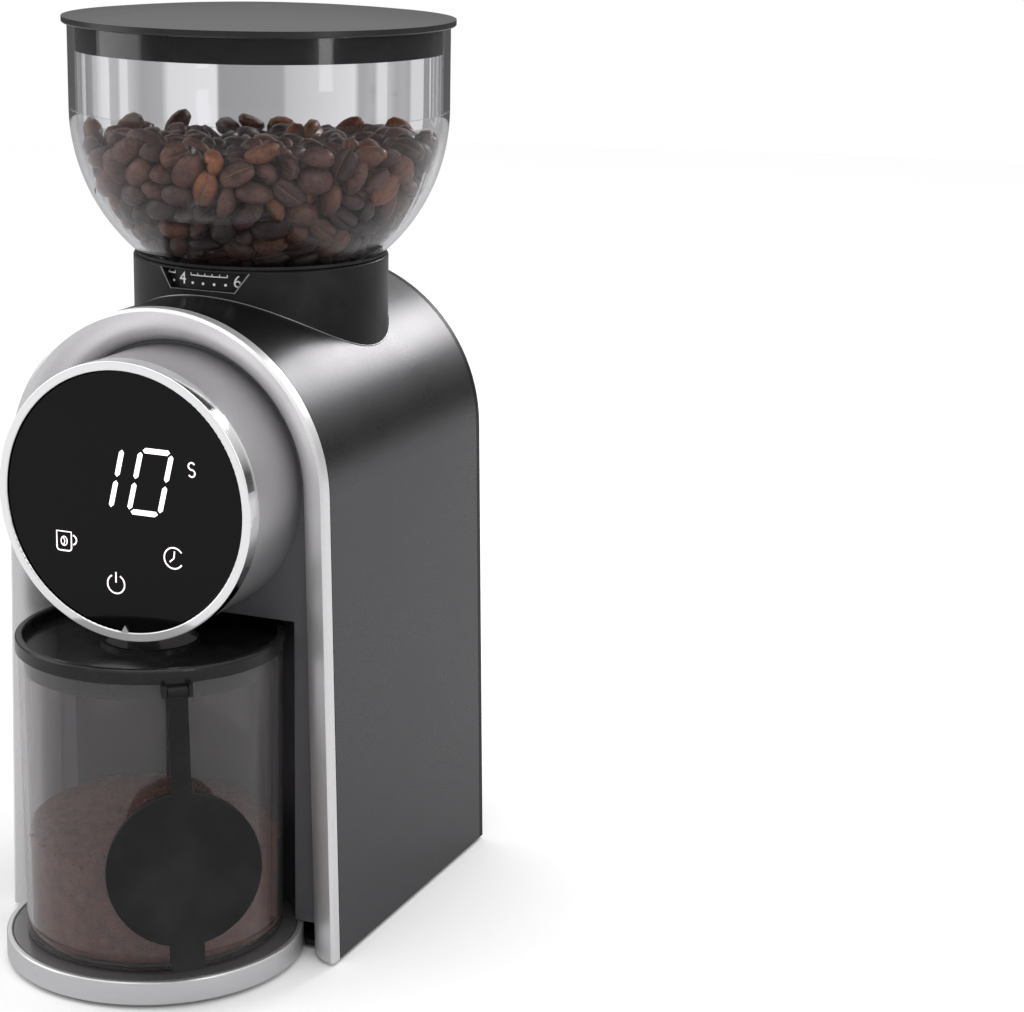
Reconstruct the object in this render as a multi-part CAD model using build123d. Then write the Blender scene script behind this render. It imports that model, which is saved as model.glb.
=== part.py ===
from build123d import *
import os
from math import acos, cos, degrees, pi, radians, sin, sqrt, tan

# Burr coffee grinder. Millimetres. The origin is on the burr axis at the level of the surface
# that the grinder stands on. +Z is up, the display faces -Y, and +X is to a viewer's right.

# Clearances
SLIP = 0.1  # between fixed pieces that fit together
RUNNING = 0.05  # radial, between a shaft and its bearing
FREE = 0.4  # between pieces that move past each other

# Arched body
ARCH_R = 68.0
ARCH_Z = 184.5
FLARE = 1.36  # degrees that each leg leans outwards
BODY_BOTTOM = 1.5
BODY_BACK = 66.4
SHELL_WALL = 2.4
BEZEL_FRONT = -82.3
BEZEL_EDGE = 5.5
BEZEL_ROLL = 11.0
REVEAL = 0.5
COVER_T = 4.0
PANEL_T = 2.5
VENT_ROWS = 7
VENT_W = 30.0
VENT_H = 2.4
VENT_PITCH = 5.4
VENT_DROP = 62.0  # from the arch's centre down to the lowest slot
GLAND_R = 6.5
GLAND_BORE = 3.6
GLAND_X = -34.0
GLAND_Z = 24.0

# Canister and base
CAN_R = 49.65  # jar radius at the foot
CAN_TAPER = 0.75
CAN_WALL = 2.2
LID_OVERHANG = 0.9
LID_BAND = 5.5
LID_T = 1.5
LID_HOLE_R = 18.0
ALCOVE_GAP = 3.2
BASE_MARGIN = 8.1
BASE_TOP = 10.9
BASE_RIM = 2.6
DISPLAY_TO_CAN = 19.5  # from the control ring's face back to the canister's axis

# Stopper
STOPPER_AZIMUTH = 40.0
STOPPER_LEAN = 7.5
STOPPER_T = 2.4
STRAP_W = 7.4
STOPPER_DISC_R = 29.0
STOPPER_DROP = 66.3  # from the hinge pin down to the disc's centre
PLUG_DEPTH = 6.0
TAB_W = 12.7
TAB_L = 11.0
EYE_PIN_R = 0.9

# Display head
HEAD_R = 52.8
HEAD_LENGTH = 34.5
HEAD_WALL = 1.5
HEAD_GAP = 1.7  # least gap between the head and the bezel
POST_INSET = 18.8  # display posts inwards from the head's outside
RING_DEPTH = 7.0
RING_LIP = 0.5
RING_SPIGOT = 5.5
GLASS_T = 2.0
GLASS_INSET = 0.8
CARRIER_DEPTH = 6.5
BOARD_T = 1.6
BOARD_GAP = 2.8  # between the glass and the display board
DIGIT_X = 3.0
DIGIT_RISE = 9.0
TOUCH_SIDE = 23.0
TOUCH_SIDE_DROP = 18.7
TOUCH_LOW_DROP = 32.5

# Grinding unit
COLLAR_R = 50.8
COLLAR_WALL = 2.5
COLLAR_RISE = 10.3  # above the top of the arch
WINDOW_TOP_ANGLE = 22.3
WINDOW_FOOT_ANGLE = 15.8
WINDOW_H = 8.6
ADJUST_WALL = 1.7
CHAMBER_R = 40.0
CHAMBER_WALL = 2.5
CHAMBER_H = 27.5
CHAMBER_SINK = 0.88  # flange below the lowest place where the collar meets the arch
RING_BURR_H = 20.0
RING_BURR_TOP_R = 20.5
RING_BURR_FOOT_R = 23.2
BURR_GAP = 1.1
BURR_TEETH = 24
SHAFT_R = 5.0
BEARING_R = 11.0
DETENT_R = 1.6
DETENT_X = 43.8
CARRIER_DROP = 2.0  # how far the carrier can move down before its head meets the chamber
CHUTE_W = 25.0
CHUTE_WALL = 1.8
SPOUT_FRONT = 28.0  # in front of the head's back
SPOUT_BACK = 8.0

# Gears
MODULE = 1.0
PRESSURE_ANGLE = 25.0
BACKLASH = 0.2
DRIVE_TEETH = 46
IDLER_SMALL_TEETH = 14
IDLER_LARGE_TEETH = 44
MOTOR_TEETH = 12
GEAR_FACE = 7.0
CASE_WALL = 2.5
IDLER_PIN_R = 3.0

# Motor
MOTOR_R = 24.0
MOTOR_H = 70.0
MOTOR_WALL = 1.5
MOTOR_SHAFT_R = 2.5
MOTOR_BOSS_R = 6.0
MOTOR_Y = 36.0
BOARD_DROP = 17.8  # power board below the motor
BOARD_H = 48.0

# Hopper
BOWL_R = 74.8
BOWL_WALL = 2.5
BOWL_STRAIGHT = 32.5
BOWL_CENTRE_RISE = 57.2  # above the collar's rim
THROAT_R = 28.0
THROAT_FOOT_RISE = -20.0
HOPPER_LID_MARGIN = 2.2
HOPPER_LID_EDGE = 2.5
HOPPER_LID_CROWN = 4.0
LID_SKIRT_H = 10.0
LID_SKIRT_WALL = 2.2

# Screws and feet
SCREW_R = 1.5
SCREW_HEAD_R = 3.0
SCREW_HEAD_H = 2.0
SCREW_SINK = 1.6
FOOT_R = 7.0
FOOT_STEM = 2.0  # above the plate that it's pressed into

# Heights and places that follow from the sizes above
ARCH_TOP = ARCH_Z + ARCH_R
COLLAR_TOP = ARCH_TOP + COLLAR_RISE
SHELL_FRONT = BEZEL_FRONT + BEZEL_EDGE + REVEAL
SHELL_BACK = BODY_BACK - COVER_T
SPIGOT_R = ARCH_R - SHELL_WALL - SLIP
PANEL_FRONT = BEZEL_FRONT + BEZEL_ROLL + 1.3
PANEL_BACK = PANEL_FRONT + PANEL_T

HEAD_BACK = PANEL_FRONT - SLIP
HEAD_FRONT = HEAD_BACK - HEAD_LENGTH
RING_R = HEAD_R + RING_LIP
RING_BACK = HEAD_FRONT - FREE
RING_FRONT = RING_BACK - RING_DEPTH
HEAD_BORE = HEAD_R - HEAD_WALL
RING_SPIGOT_R = HEAD_BORE - 0.3
RING_BORE = RING_SPIGOT_R - 1.2
GLASS_R = RING_BORE - 0.3
GLASS_FRONT = RING_FRONT + GLASS_INSET
BOARD_FACE = GLASS_FRONT + GLASS_T + BOARD_GAP
SPOUT_FOOT = ARCH_Z - HEAD_R + 0.3

CAN_Y = RING_FRONT + DISPLAY_TO_CAN
CAN_TOP_R = CAN_R + CAN_TAPER
CAN_LID_R = CAN_TOP_R + LID_OVERHANG
CAN_BOTTOM = BASE_TOP + 0.3
LID_RIM_TOP = ARCH_Z - RING_R - 0.6
LID_EDGE_Z = LID_RIM_TOP - LID_BAND
CAN_TOP = LID_EDGE_Z - SLIP
PIN_Y = -(CAN_LID_R + 1.3)
PIN_Z = LID_EDGE_Z - 2.6
ALCOVE_R = CAN_LID_R + ALCOVE_GAP
ALCOVE_TOP = LID_RIM_TOP + 3.0
BASE_R = CAN_R + BASE_MARGIN
BASE_CORE_R = BASE_R - BASE_RIM - SLIP
BEZEL_INNER_R = max(ALCOVE_R, HEAD_R + HEAD_GAP)

CHAMBER_TOP = ARCH_Z + sqrt((ARCH_R - SHELL_WALL) ** 2 - (COLLAR_R + 0.9) ** 2) - CHAMBER_SINK
CHAMBER_BOTTOM = CHAMBER_TOP - CHAMBER_H
CHAMBER_FLOOR = CHAMBER_BOTTOM + 2.0
ADJUST_R = COLLAR_R - COLLAR_WALL - FREE
ADJUST_BOTTOM = CHAMBER_TOP + 0.3
ADJUST_TOP = COLLAR_TOP - WINDOW_H - 3.0
SCALE_LOW = COLLAR_TOP - WINDOW_H - 1.5
SCALE_HIGH = COLLAR_TOP - 1.4
THREAD_R = CHAMBER_R + 0.2
THREAD_TOP = ADJUST_BOTTOM + 18.0
CARRIER_R = THREAD_R - 0.3
CARRIER_SKIRT_R = CHAMBER_R - CHAMBER_WALL - 0.3
CARRIER_BORE = CARRIER_SKIRT_R - 2.2
RING_BURR_BOTTOM = CHAMBER_BOTTOM + 17.5
RING_BURR_TOP = RING_BURR_BOTTOM + RING_BURR_H
HOPPER_PLUG_R = ADJUST_R - ADJUST_WALL - FREE

GEAR_COVER_TOP = CHAMBER_BOTTOM - SLIP
GEAR_COVER_BOTTOM = GEAR_COVER_TOP - 2.5
LARGE_GEAR_Z = GEAR_COVER_BOTTOM - 2.0 - GEAR_FACE
SMALL_GEAR_Z = LARGE_GEAR_Z - 2.0 - GEAR_FACE
CASE_FLOOR_TOP = SMALL_GEAR_Z - 2.0
CASE_BOTTOM = CASE_FLOOR_TOP - CASE_WALL
IDLER_TO_DRIVE = MODULE * (IDLER_SMALL_TEETH + DRIVE_TEETH) / 2
IDLER_TO_MOTOR = MODULE * (IDLER_LARGE_TEETH + MOTOR_TEETH) / 2
IDLER_Y = (IDLER_TO_DRIVE**2 - IDLER_TO_MOTOR**2 + MOTOR_Y**2) / (2 * MOTOR_Y)
IDLER_X = sqrt(IDLER_TO_DRIVE**2 - IDLER_Y**2)
DRIVE_TURN = degrees(acos(IDLER_X / IDLER_TO_DRIVE))
IDLER_TURN = 180 - degrees(acos(IDLER_X / IDLER_TO_MOTOR))
CASE_LEFT = -MODULE * DRIVE_TEETH / 2 - 5.0
CASE_RIGHT = IDLER_X + MODULE * IDLER_LARGE_TEETH / 2 + 5.0
CASE_FRONT = -MODULE * DRIVE_TEETH / 2 - 5.0
CASE_BACK = MOTOR_Y + MODULE * MOTOR_TEETH / 2 + 5.0

MOTOR_TOP = CASE_BOTTOM - SLIP
MOTOR_BOTTOM = MOTOR_TOP - MOTOR_H
MOTOR_SHAFT_BOTTOM = MOTOR_BOTTOM - 6.0
BOARD_TOP = MOTOR_BOTTOM - BOARD_DROP
BOARD_BOTTOM = BOARD_TOP - BOARD_H

BOWL_Z = COLLAR_TOP + BOWL_CENTRE_RISE
BOWL_TOP = BOWL_Z + BOWL_STRAIGHT
BOWL_INNER_R = BOWL_R - BOWL_WALL
THROAT_FOOT = COLLAR_TOP + THROAT_FOOT_RISE
NECK_R = THROAT_R + BOWL_WALL
LID_EDGE_BOTTOM = BOWL_TOP + 0.3
LID_SKIRT_R = BOWL_INNER_R - FREE
HOPPER_LID_R = BOWL_R + HOPPER_LID_MARGIN

UP = (Align.CENTER, Align.CENTER, Align.MIN)


# Shape helpers


def disc(radius, low, high, x=0.0, y=0.0):
    """Upright solid cylinder between two heights."""
    return Pos(x, y, low) * Cylinder(radius, high - low, align=UP)


def ring(outer, inner, low, high, x=0.0, y=0.0):
    """Upright tube between two heights."""
    return disc(outer, low, high, x, y) - disc(inner, low - 1, high + 1, x, y)


def dial(radius, front, back, x=0.0, z=ARCH_Z):
    """Cylinder whose axis runs front to back."""
    return Pos(x, front, z) * Rot(-90, 0, 0) * Cylinder(radius, back - front, align=UP)


def dial_ring(outer, inner, front, back, x=0.0, z=ARCH_Z):
    """Tube whose axis runs front to back."""
    return dial(outer, front, back, x, z) - dial(inner, front - 1, back + 1, x, z)


def block(x_low, x_high, y_low, y_high, z_low, z_high):
    """Box between two corners."""
    size = Box(x_high - x_low, y_high - y_low, z_high - z_low, align=(Align.MIN,) * 3)
    return Pos(x_low, y_low, z_low) * size


def turned(edges, x=0.0, y=0.0):
    """Solid of revolution about a vertical axis, from edges drawn in the XZ plane."""
    return Pos(x, y, 0) * revolve(Face(Wire(edges)), Axis.Z)


def outline(points):
    """Closed loop of straight edges through points in the XZ plane, given as (x, z)."""
    corners = [(x, 0, z) for x, z in points]
    return Polyline(*corners, close=True).edges()


def screw(x, y, z, length, lay=Rot(0, 0, 0)):
    """Pan-head cross-recess screw: the shank runs from the head's seat at x, y, z along +Z."""
    shank = Cylinder(SCREW_R, length, align=UP)
    head = Pos(0, 0, -SCREW_HEAD_H) * Cylinder(SCREW_HEAD_R, SCREW_HEAD_H, align=UP)
    head = fillet(head.faces().sort_by(Axis.Z)[0].edges(), SCREW_HEAD_H / 3)
    slot = Box(SCREW_HEAD_R * 1.2, 0.7, SCREW_HEAD_H)
    recess = Pos(0, 0, -SCREW_HEAD_H) * (slot + Rot(0, 0, 90) * slot)
    return Pos(x, y, z) * lay * (shank + head - recess)


def coil(radius, wire, turns, pitch):
    """Helical spring about Z, starting at z = 0."""
    path = Helix(pitch, pitch * turns, radius)
    start = Plane(path @ 0, z_dir=path % 0)
    return sweep(start * Circle(wire), path=path, is_frenet=True)


# The arch


def arch_face(radius, bottom):
    """Arched outline in the XZ plane: a round top on legs that lean outwards to the floor."""
    lean = radians(FLARE)
    shoulder_x = radius * cos(lean)
    shoulder_z = ARCH_Z + radius * sin(lean)
    foot_x = shoulder_x + (shoulder_z - bottom) * tan(lean)
    shoulder, other_shoulder = (shoulder_x, 0, shoulder_z), (-shoulder_x, 0, shoulder_z)
    foot, other_foot = (foot_x, 0, bottom), (-foot_x, 0, bottom)
    crown = ThreePointArc(shoulder, (0, 0, ARCH_Z + radius), other_shoulder)
    legs = [Line(foot, shoulder), Line(other_shoulder, other_foot), Line(other_foot, foot)]
    return Face(Wire([crown] + legs))


def arch_block(radius, bottom, front, back):
    """Solid with the arched outline, from front to back."""
    face = Pos(0, front, 0) * arch_face(radius, bottom)
    return extrude(face, back - front, dir=(0, 1, 0))


def arch_sweep(section):
    """Follows the arch with a section drawn as (radius, y) edges in a flat plane."""
    lean = radians(FLARE)
    plane = Plane((0, 0, ARCH_Z), x_dir=(cos(lean), 0, sin(lean)), z_dir=(-sin(lean), 0, cos(lean)))
    face = plane * Face(Wire(section))
    crown = revolve(face, Axis((0, 0, ARCH_Z), (0, -1, 0)), 180 - 2 * FLARE)
    leg = extrude(face, 2 * ARCH_Z, dir=(sin(lean), 0, -cos(lean)))
    whole = crown + leg + mirror(leg, Plane.YZ)
    reach = 4 * ARCH_R
    return whole & block(-reach, reach, -reach, reach, BODY_BOTTOM, ARCH_TOP + 1)


def base_hollow(margin):
    """Room for the round base where it runs in under the body."""
    return disc(BASE_R + margin, -1, BASE_TOP + margin, y=CAN_Y)


# Body pieces


def outer_shell():
    wall = arch_block(ARCH_R, BODY_BOTTOM, SHELL_FRONT, SHELL_BACK)
    inside = arch_block(ARCH_R - SHELL_WALL, -BODY_BOTTOM, SHELL_FRONT - 1, SHELL_BACK + 1)
    hole = disc(COLLAR_R + SLIP, ARCH_Z, ARCH_TOP + 1)
    return wall - inside - hole


def front_bezel():
    """Satin ring round the front: a flat outer edge, and a crowned face that rolls inwards."""
    shoulder = ARCH_R - min(1.2, (ARCH_R - BEZEL_INNER_R) / 4)
    roll_back = BEZEL_FRONT + BEZEL_ROLL
    rear = PANEL_FRONT - SLIP
    edge_back = BEZEL_FRONT + BEZEL_EDGE
    mid = ((shoulder + BEZEL_INNER_R) / 2, (BEZEL_FRONT + roll_back) / 2)
    bulge = 0.11 * (shoulder - BEZEL_INNER_R)
    section = [
        Line((ARCH_R, edge_back), (ARCH_R, BEZEL_FRONT + 0.9)),
        Line((ARCH_R, BEZEL_FRONT + 0.9), (shoulder, BEZEL_FRONT)),
        ThreePointArc(
            (shoulder, BEZEL_FRONT),
            (mid[0] - bulge, mid[1] - bulge),
            (BEZEL_INNER_R, roll_back),
        ),
        Line((BEZEL_INNER_R, roll_back), (BEZEL_INNER_R, rear)),
        Line((BEZEL_INNER_R, rear), (SPIGOT_R, rear)),
        Line((SPIGOT_R, rear), (SPIGOT_R, edge_back)),
        Line((SPIGOT_R, edge_back), (ARCH_R, edge_back)),
    ]
    return arch_sweep(section) - base_hollow(FREE)


def front_panel():
    """Panel across the arch, with a round alcove that the back of the canister stands in."""
    alcove_bottom = BASE_TOP + FREE
    plate = arch_block(SPIGOT_R, alcove_bottom, PANEL_FRONT, PANEL_BACK)
    wall = disc(ALCOVE_R + PANEL_T, alcove_bottom, ALCOVE_TOP + PANEL_T, y=CAN_Y)
    reach = 4 * ARCH_R
    wall &= block(-reach, reach, PANEL_FRONT, reach, 0, reach)
    alcove = disc(ALCOVE_R, 0, ALCOVE_TOP, y=CAN_Y)
    panel = plate + wall - alcove - chute_block(SLIP)
    holes = [dial(SCREW_R + SLIP, PANEL_FRONT - 1, PANEL_BACK + 1, x, z) for x, z in head_bolts()]
    return panel - holes


def back_cover():
    """Cap over the back, with a spigot, cooling slots and a bushed hole for the lead."""
    plate = arch_block(ARCH_R, BODY_BOTTOM, SHELL_BACK + SLIP, BODY_BACK)
    plate = chamfer(plate.faces().sort_by(Axis.Y)[-1].edges(), 0.8)
    lip_r = ARCH_R - SHELL_WALL - SLIP
    lip_bottom = BODY_BOTTOM + COVER_T
    lip = arch_block(lip_r, lip_bottom, SHELL_BACK - 4, SHELL_BACK + SLIP)
    lip -= arch_block(lip_r - 1.6, lip_bottom + 1.6, SHELL_BACK - 5, SHELL_BACK + SLIP)
    cover = plate + lip
    slots = []
    for row in range(VENT_ROWS):
        z = ARCH_Z - VENT_DROP + row * VENT_PITCH
        for side in (-1, 1):
            middle = side * VENT_W * 0.56
            slots.append(block(middle - VENT_W / 2, middle + VENT_W / 2, 0, 2 * BODY_BACK, z, z + VENT_H))
    holes = [dial(SCREW_R + SLIP, 0, 2 * BODY_BACK, x, z) for x, z in cover_screw_places()]
    gland = dial(GLAND_R + SLIP, 0, 2 * BODY_BACK, GLAND_X, GLAND_Z)
    return cover - slots - holes - gland


def cover_screw_places():
    """Two screws low in the legs and one each side of the arch, as (x, z)."""
    low = BODY_BOTTOM + 12.0
    span = ARCH_R - SHELL_WALL - 9.0
    return [(-span, low), (span, low), (-span, ARCH_Z), (span, ARCH_Z)]


def back_cover_screws():
    facing = Rot(90, 0, 0)
    return [screw(x, BODY_BACK, z, COVER_T + 6, facing) for x, z in cover_screw_places()]


def cord_gland():
    """Rubber bushing that the lead passes through."""
    flange = dial_ring(GLAND_R + 1.5, GLAND_BORE, BODY_BACK + SLIP, BODY_BACK + 2, GLAND_X, GLAND_Z)
    sleeve = dial_ring(GLAND_R, GLAND_BORE, SHELL_BACK - 4, BODY_BACK + SLIP, GLAND_X, GLAND_Z)
    clip = dial_ring(GLAND_R + 1.2, GLAND_BORE, SHELL_BACK - 4, SHELL_BACK - 2, GLAND_X, GLAND_Z)
    return flange + sleeve + clip


def bottom_cover():
    """Plate between the legs, behind the round base."""
    top = BODY_BOTTOM + 2.5
    inner = ARCH_R - SHELL_WALL - SLIP
    plate = arch_block(inner, BODY_BOTTOM, PANEL_FRONT, SHELL_BACK - SLIP)
    plate &= block(-2 * ARCH_R, 2 * ARCH_R, PANEL_FRONT, SHELL_BACK, BODY_BOTTOM, top)
    holes = [disc(SCREW_R + SLIP, -1, top + 1, x, y) for x, y in bottom_screw_places()]
    seat = BODY_BOTTOM + SCREW_SINK
    sinks = [disc(SCREW_HEAD_R + SLIP, -1, seat, x, y) for x, y in bottom_screw_places()]
    feet = [disc(FOOT_R / 2 + SLIP, -1, top + 1, x, y) for x, y in body_feet()]
    return plate - base_hollow(FREE) - holes - sinks - feet


def bottom_screw_places():
    """Screws near the plate's rear and front corners, as (x, y)."""
    side = ARCH_R - 14.0
    return [(-side, SHELL_BACK - 32), (side, SHELL_BACK - 32), (-side, -12), (side, -12)]


def bottom_screws():
    """Screws that go up through the bottom cover, with their heads sunk into it."""
    seat = BODY_BOTTOM + SCREW_SINK
    return [screw(x, y, seat, 8) for x, y in bottom_screw_places()]


def body_feet():
    """Two feet near the back corners, and one on the burr axis, as (x, y)."""
    side = ARCH_R - 16.0
    return [(-side, SHELL_BACK - 12), (side, SHELL_BACK - 12), (0, 0)]


def front_feet():
    """Three feet under the round base."""
    reach = BASE_R - 14.0
    places = []
    for angle in (0, 65, -65):
        turn = radians(angle)
        places.append((reach * sin(turn), CAN_Y - reach * cos(turn)))
    return places


def rubber_feet():
    """Each foot is a pad with a stem that is pressed up into its plate."""
    feet = []
    for x, y in body_feet() + front_feet():
        pad = disc(FOOT_R, 0, BODY_BOTTOM - SLIP, x, y)
        pad = chamfer(pad.faces().sort_by(Axis.Z)[0].edges(), 0.4)
        feet.append(pad + disc(FOOT_R / 2, 0.5, BODY_BOTTOM + FOOT_STEM, x, y))
    return feet


# Round base


def base_core():
    """Hub under the canister: a plate on a stiffened rim."""
    core = disc(BASE_CORE_R, BODY_BOTTOM, BASE_TOP - 2.3, y=CAN_Y)
    core -= ring(BASE_CORE_R - 5, BASE_CORE_R - 24, BODY_BOTTOM + 3.2, BASE_TOP - 5, y=CAN_Y)
    stem_top = BODY_BOTTOM + FOOT_STEM + SLIP
    return core - [disc(FOOT_R / 2 + SLIP, -1, stem_top, x, y) for x, y in front_feet()]


def base_trim_ring():
    """Brushed metal edge of the round base."""
    rim = ring(BASE_R, BASE_R - BASE_RIM, BODY_BOTTOM, BASE_TOP, y=CAN_Y)
    top_edges = rim.faces().sort_by(Axis.Z)[-1].edges()
    rim = fillet(top_edges, 0.8)
    return chamfer(rim.faces().sort_by(Axis.Z)[0].edges().sort_by(SortBy.LENGTH)[-1], 0.6)


def base_top_plate():
    """Glossy plate that the canister stands on."""
    return disc(BASE_CORE_R, BASE_TOP - 2.2, BASE_TOP - 0.4, y=CAN_Y)


# Display head


def head_bolts():
    """Three screws that hold the head to the panel, as (x, z)."""
    reach = HEAD_R - 10.0
    angles = (35, 145, 90)
    return [(reach * cos(radians(a)), ARCH_Z + reach * sin(radians(a))) for a in angles]


def head_housing():
    """Round cup on the front of the panel, with the grounds duct coming down through it."""
    cup = dial(HEAD_R, HEAD_FRONT, HEAD_BACK)
    cup = chamfer(cup.faces().sort_by(Axis.Y)[0].edges(), 0.5)
    cup -= dial(HEAD_BORE, HEAD_FRONT - 1, HEAD_BACK - 3)
    cup -= [dial(SCREW_R + SLIP, HEAD_BACK - 4, HEAD_BACK + 1, x, z) for x, z in head_bolts()]
    return cup - chute_block(SLIP)


def head_screws():
    """Screws through the head's back wall into the panel."""
    return [screw(x, HEAD_BACK - 3 - SLIP, z, 8, Rot(-90, 0, 0)) for x, z in head_bolts()]


def control_ring():
    """Turning ring round the display, with a spigot in the head and an index mark at its foot."""
    front_ring = dial_ring(RING_R, RING_BORE, RING_FRONT, RING_BACK)
    outer_edges = front_ring.faces().sort_by(Axis.Y)[0].edges()
    front_ring = fillet(outer_edges, 0.55)
    spigot = dial_ring(RING_SPIGOT_R, RING_BORE, RING_BACK - 0.1, RING_BACK + RING_SPIGOT)
    mark_z = ARCH_Z - RING_BORE - 0.15
    tip = [(0, mark_z + 2.6), (-2.1, mark_z - 0.9), (2.1, mark_z - 0.9)]
    mark = extrude(Pos(0, RING_FRONT + 0.05, 0) * Face(Wire(outline(tip))), 0.55, dir=(0, 1, 0))
    return front_ring + spigot + mark


def display_glass():
    """Dark glass disc with a small bevel on its front edge."""
    glass = dial(GLASS_R, GLASS_FRONT, GLASS_FRONT + GLASS_T)
    return chamfer(glass.faces().sort_by(Axis.Y)[0].edges(), 0.3)


def display_carrier():
    """Fixed cup behind the glass, on three posts from the head's back wall."""
    front = GLASS_FRONT + GLASS_T + SLIP
    back = front + CARRIER_DEPTH
    cup = dial(GLASS_R, front, back) - dial(GLASS_R - 2, front - 1, back - 2)
    for angle in (-90 - 50, -90 + 50, 90):
        turn = radians(angle)
        reach = HEAD_R - POST_INSET
        x, z = reach * cos(turn), ARCH_Z + reach * sin(turn)
        cup += dial(3.5, back - 0.1, HEAD_BACK - 3 - SLIP, x, z)
    return cup


def display_board():
    """Circuit board in the carrier's cup."""
    return dial(GLASS_R - 2.3, BOARD_FACE, BOARD_FACE + BOARD_T)


def digit_display():
    """Three-digit display block between the board and the glass."""
    front = GLASS_FRONT + GLASS_T + 0.2
    z = ARCH_Z + DIGIT_RISE
    body = block(DIGIT_X - 24, DIGIT_X + 24, front, BOARD_FACE, z - 14, z + 14)
    windows = [
        block(DIGIT_X + x - 6, DIGIT_X + x + 6, front - 1, front + 0.4, z - 12, z + 12)
        for x in (-15.5, 0, 15.5)
    ]
    return body - windows


def touch_springs():
    """Three coil springs that carry the touch marks' signal from the glass to the board."""
    front = GLASS_FRONT + GLASS_T + 0.45
    length = BOARD_FACE - front - 0.45
    spring = coil(4.0, 0.35, 3, length / 3)
    places = [
        (-TOUCH_SIDE, ARCH_Z - TOUCH_SIDE_DROP),
        (0, ARCH_Z - TOUCH_LOW_DROP),
        (TOUCH_SIDE, ARCH_Z - TOUCH_SIDE_DROP),
    ]
    return [Pos(x, front, z) * Rot(-90, 0, 0) * spring for x, z in places]


# Grounds path


def chute_points():
    """Side view of the duct's outer wall, as (y, z), from the chamber down to the spout."""
    start = -(CHAMBER_R + SLIP + 0.3)
    mouth_front = HEAD_BACK - SPOUT_FRONT
    mouth_back = HEAD_BACK - SPOUT_BACK
    top = CHAMBER_FLOOR + 10.5
    foot = SPOUT_FOOT
    return [
        (start, top),
        (start - 20, top - 2),
        (mouth_front, ARCH_Z - 14),
        (mouth_front, foot),
        (mouth_back, foot),
        (mouth_back, ARCH_Z - 26),
        (PANEL_FRONT + 8, CHAMBER_FLOOR - 14),
        (start, CHAMBER_FLOOR - 2),
    ]


def chute_block(margin):
    """The duct's outer shape, grown by a margin."""
    corners = [(0, y, z) for y, z in chute_points()]
    side = Face(Wire(Polyline(*corners, close=True).edges()))
    if margin:
        side = offset(side, margin, kind=Kind.INTERSECTION)
    half = CHUTE_W / 2 + margin
    face = Face(Wire(side.edges()))
    return extrude(Pos(-half, 0, 0) * face, 2 * half, dir=(1, 0, 0))


def grounds_chute():
    """Duct that takes the grounds forwards and down to the canister's hole."""
    (y0, top), *_ = chute_points()
    inside = chute_block(-CHUTE_WALL)
    half = CHUTE_W / 2 - CHUTE_WALL
    front = HEAD_BACK - SPOUT_FRONT + CHUTE_WALL
    back = HEAD_BACK - SPOUT_BACK - CHUTE_WALL
    mouth = block(-half, half, front, back, SPOUT_FOOT - 1, SPOUT_FOOT + 4)
    inlet = block(-half, half, y0 - 4, y0 + 1, CHAMBER_FLOOR, top - CHUTE_WALL)
    return chute_block(0) - inside - mouth - inlet


def spout_seal():
    """Rubber lip inside the duct's mouth."""
    half = CHUTE_W / 2 - CHUTE_WALL - SLIP
    front = HEAD_BACK - SPOUT_FRONT + CHUTE_WALL + SLIP
    back = HEAD_BACK - SPOUT_BACK - CHUTE_WALL - SLIP
    outer = block(-half, half, front, back, SPOUT_FOOT, SPOUT_FOOT + 3)
    inner = block(-half + 1.2, half - 1.2, front + 1.2, back - 1.2, SPOUT_FOOT - 1, SPOUT_FOOT + 4)
    return outer - inner


# Grinding unit


def hopper_collar():
    """Tube standing out of the arch, with a scale window in front and a fixing flange inside."""
    flange_bottom = CHAMBER_TOP
    tube = ring(COLLAR_R, COLLAR_R - COLLAR_WALL, flange_bottom, COLLAR_TOP)
    rim = tube.faces().sort_by(Axis.Z)[-1].edges().sort_by(SortBy.LENGTH)[-1]
    tube = fillet(rim, min(0.9, COLLAR_WALL / 2))
    return tube - scale_window(COLLAR_R + 2, COLLAR_R - COLLAR_WALL - 1)


def scale_window(outer, inner):
    """Wedge with slanting ends that opens the front of the collar up to its rim."""
    high = COLLAR_TOP + 1
    low = COLLAR_TOP - WINDOW_H
    wide, narrow = radians(WINDOW_TOP_ANGLE), radians(WINDOW_FOOT_ANGLE)
    wide_x, narrow_x = COLLAR_R * sin(wide), COLLAR_R * sin(narrow)
    corners = [(-narrow_x, low), (narrow_x, low), (wide_x, high), (-wide_x, high)]
    face = Pos(0, -outer, 0) * Face(Wire(outline(corners)))
    keep_rim = ring(outer, inner, COLLAR_TOP - 0.9, COLLAR_TOP + 2)
    return extrude(face, outer, dir=(0, 1, 0)) - keep_rim


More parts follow.
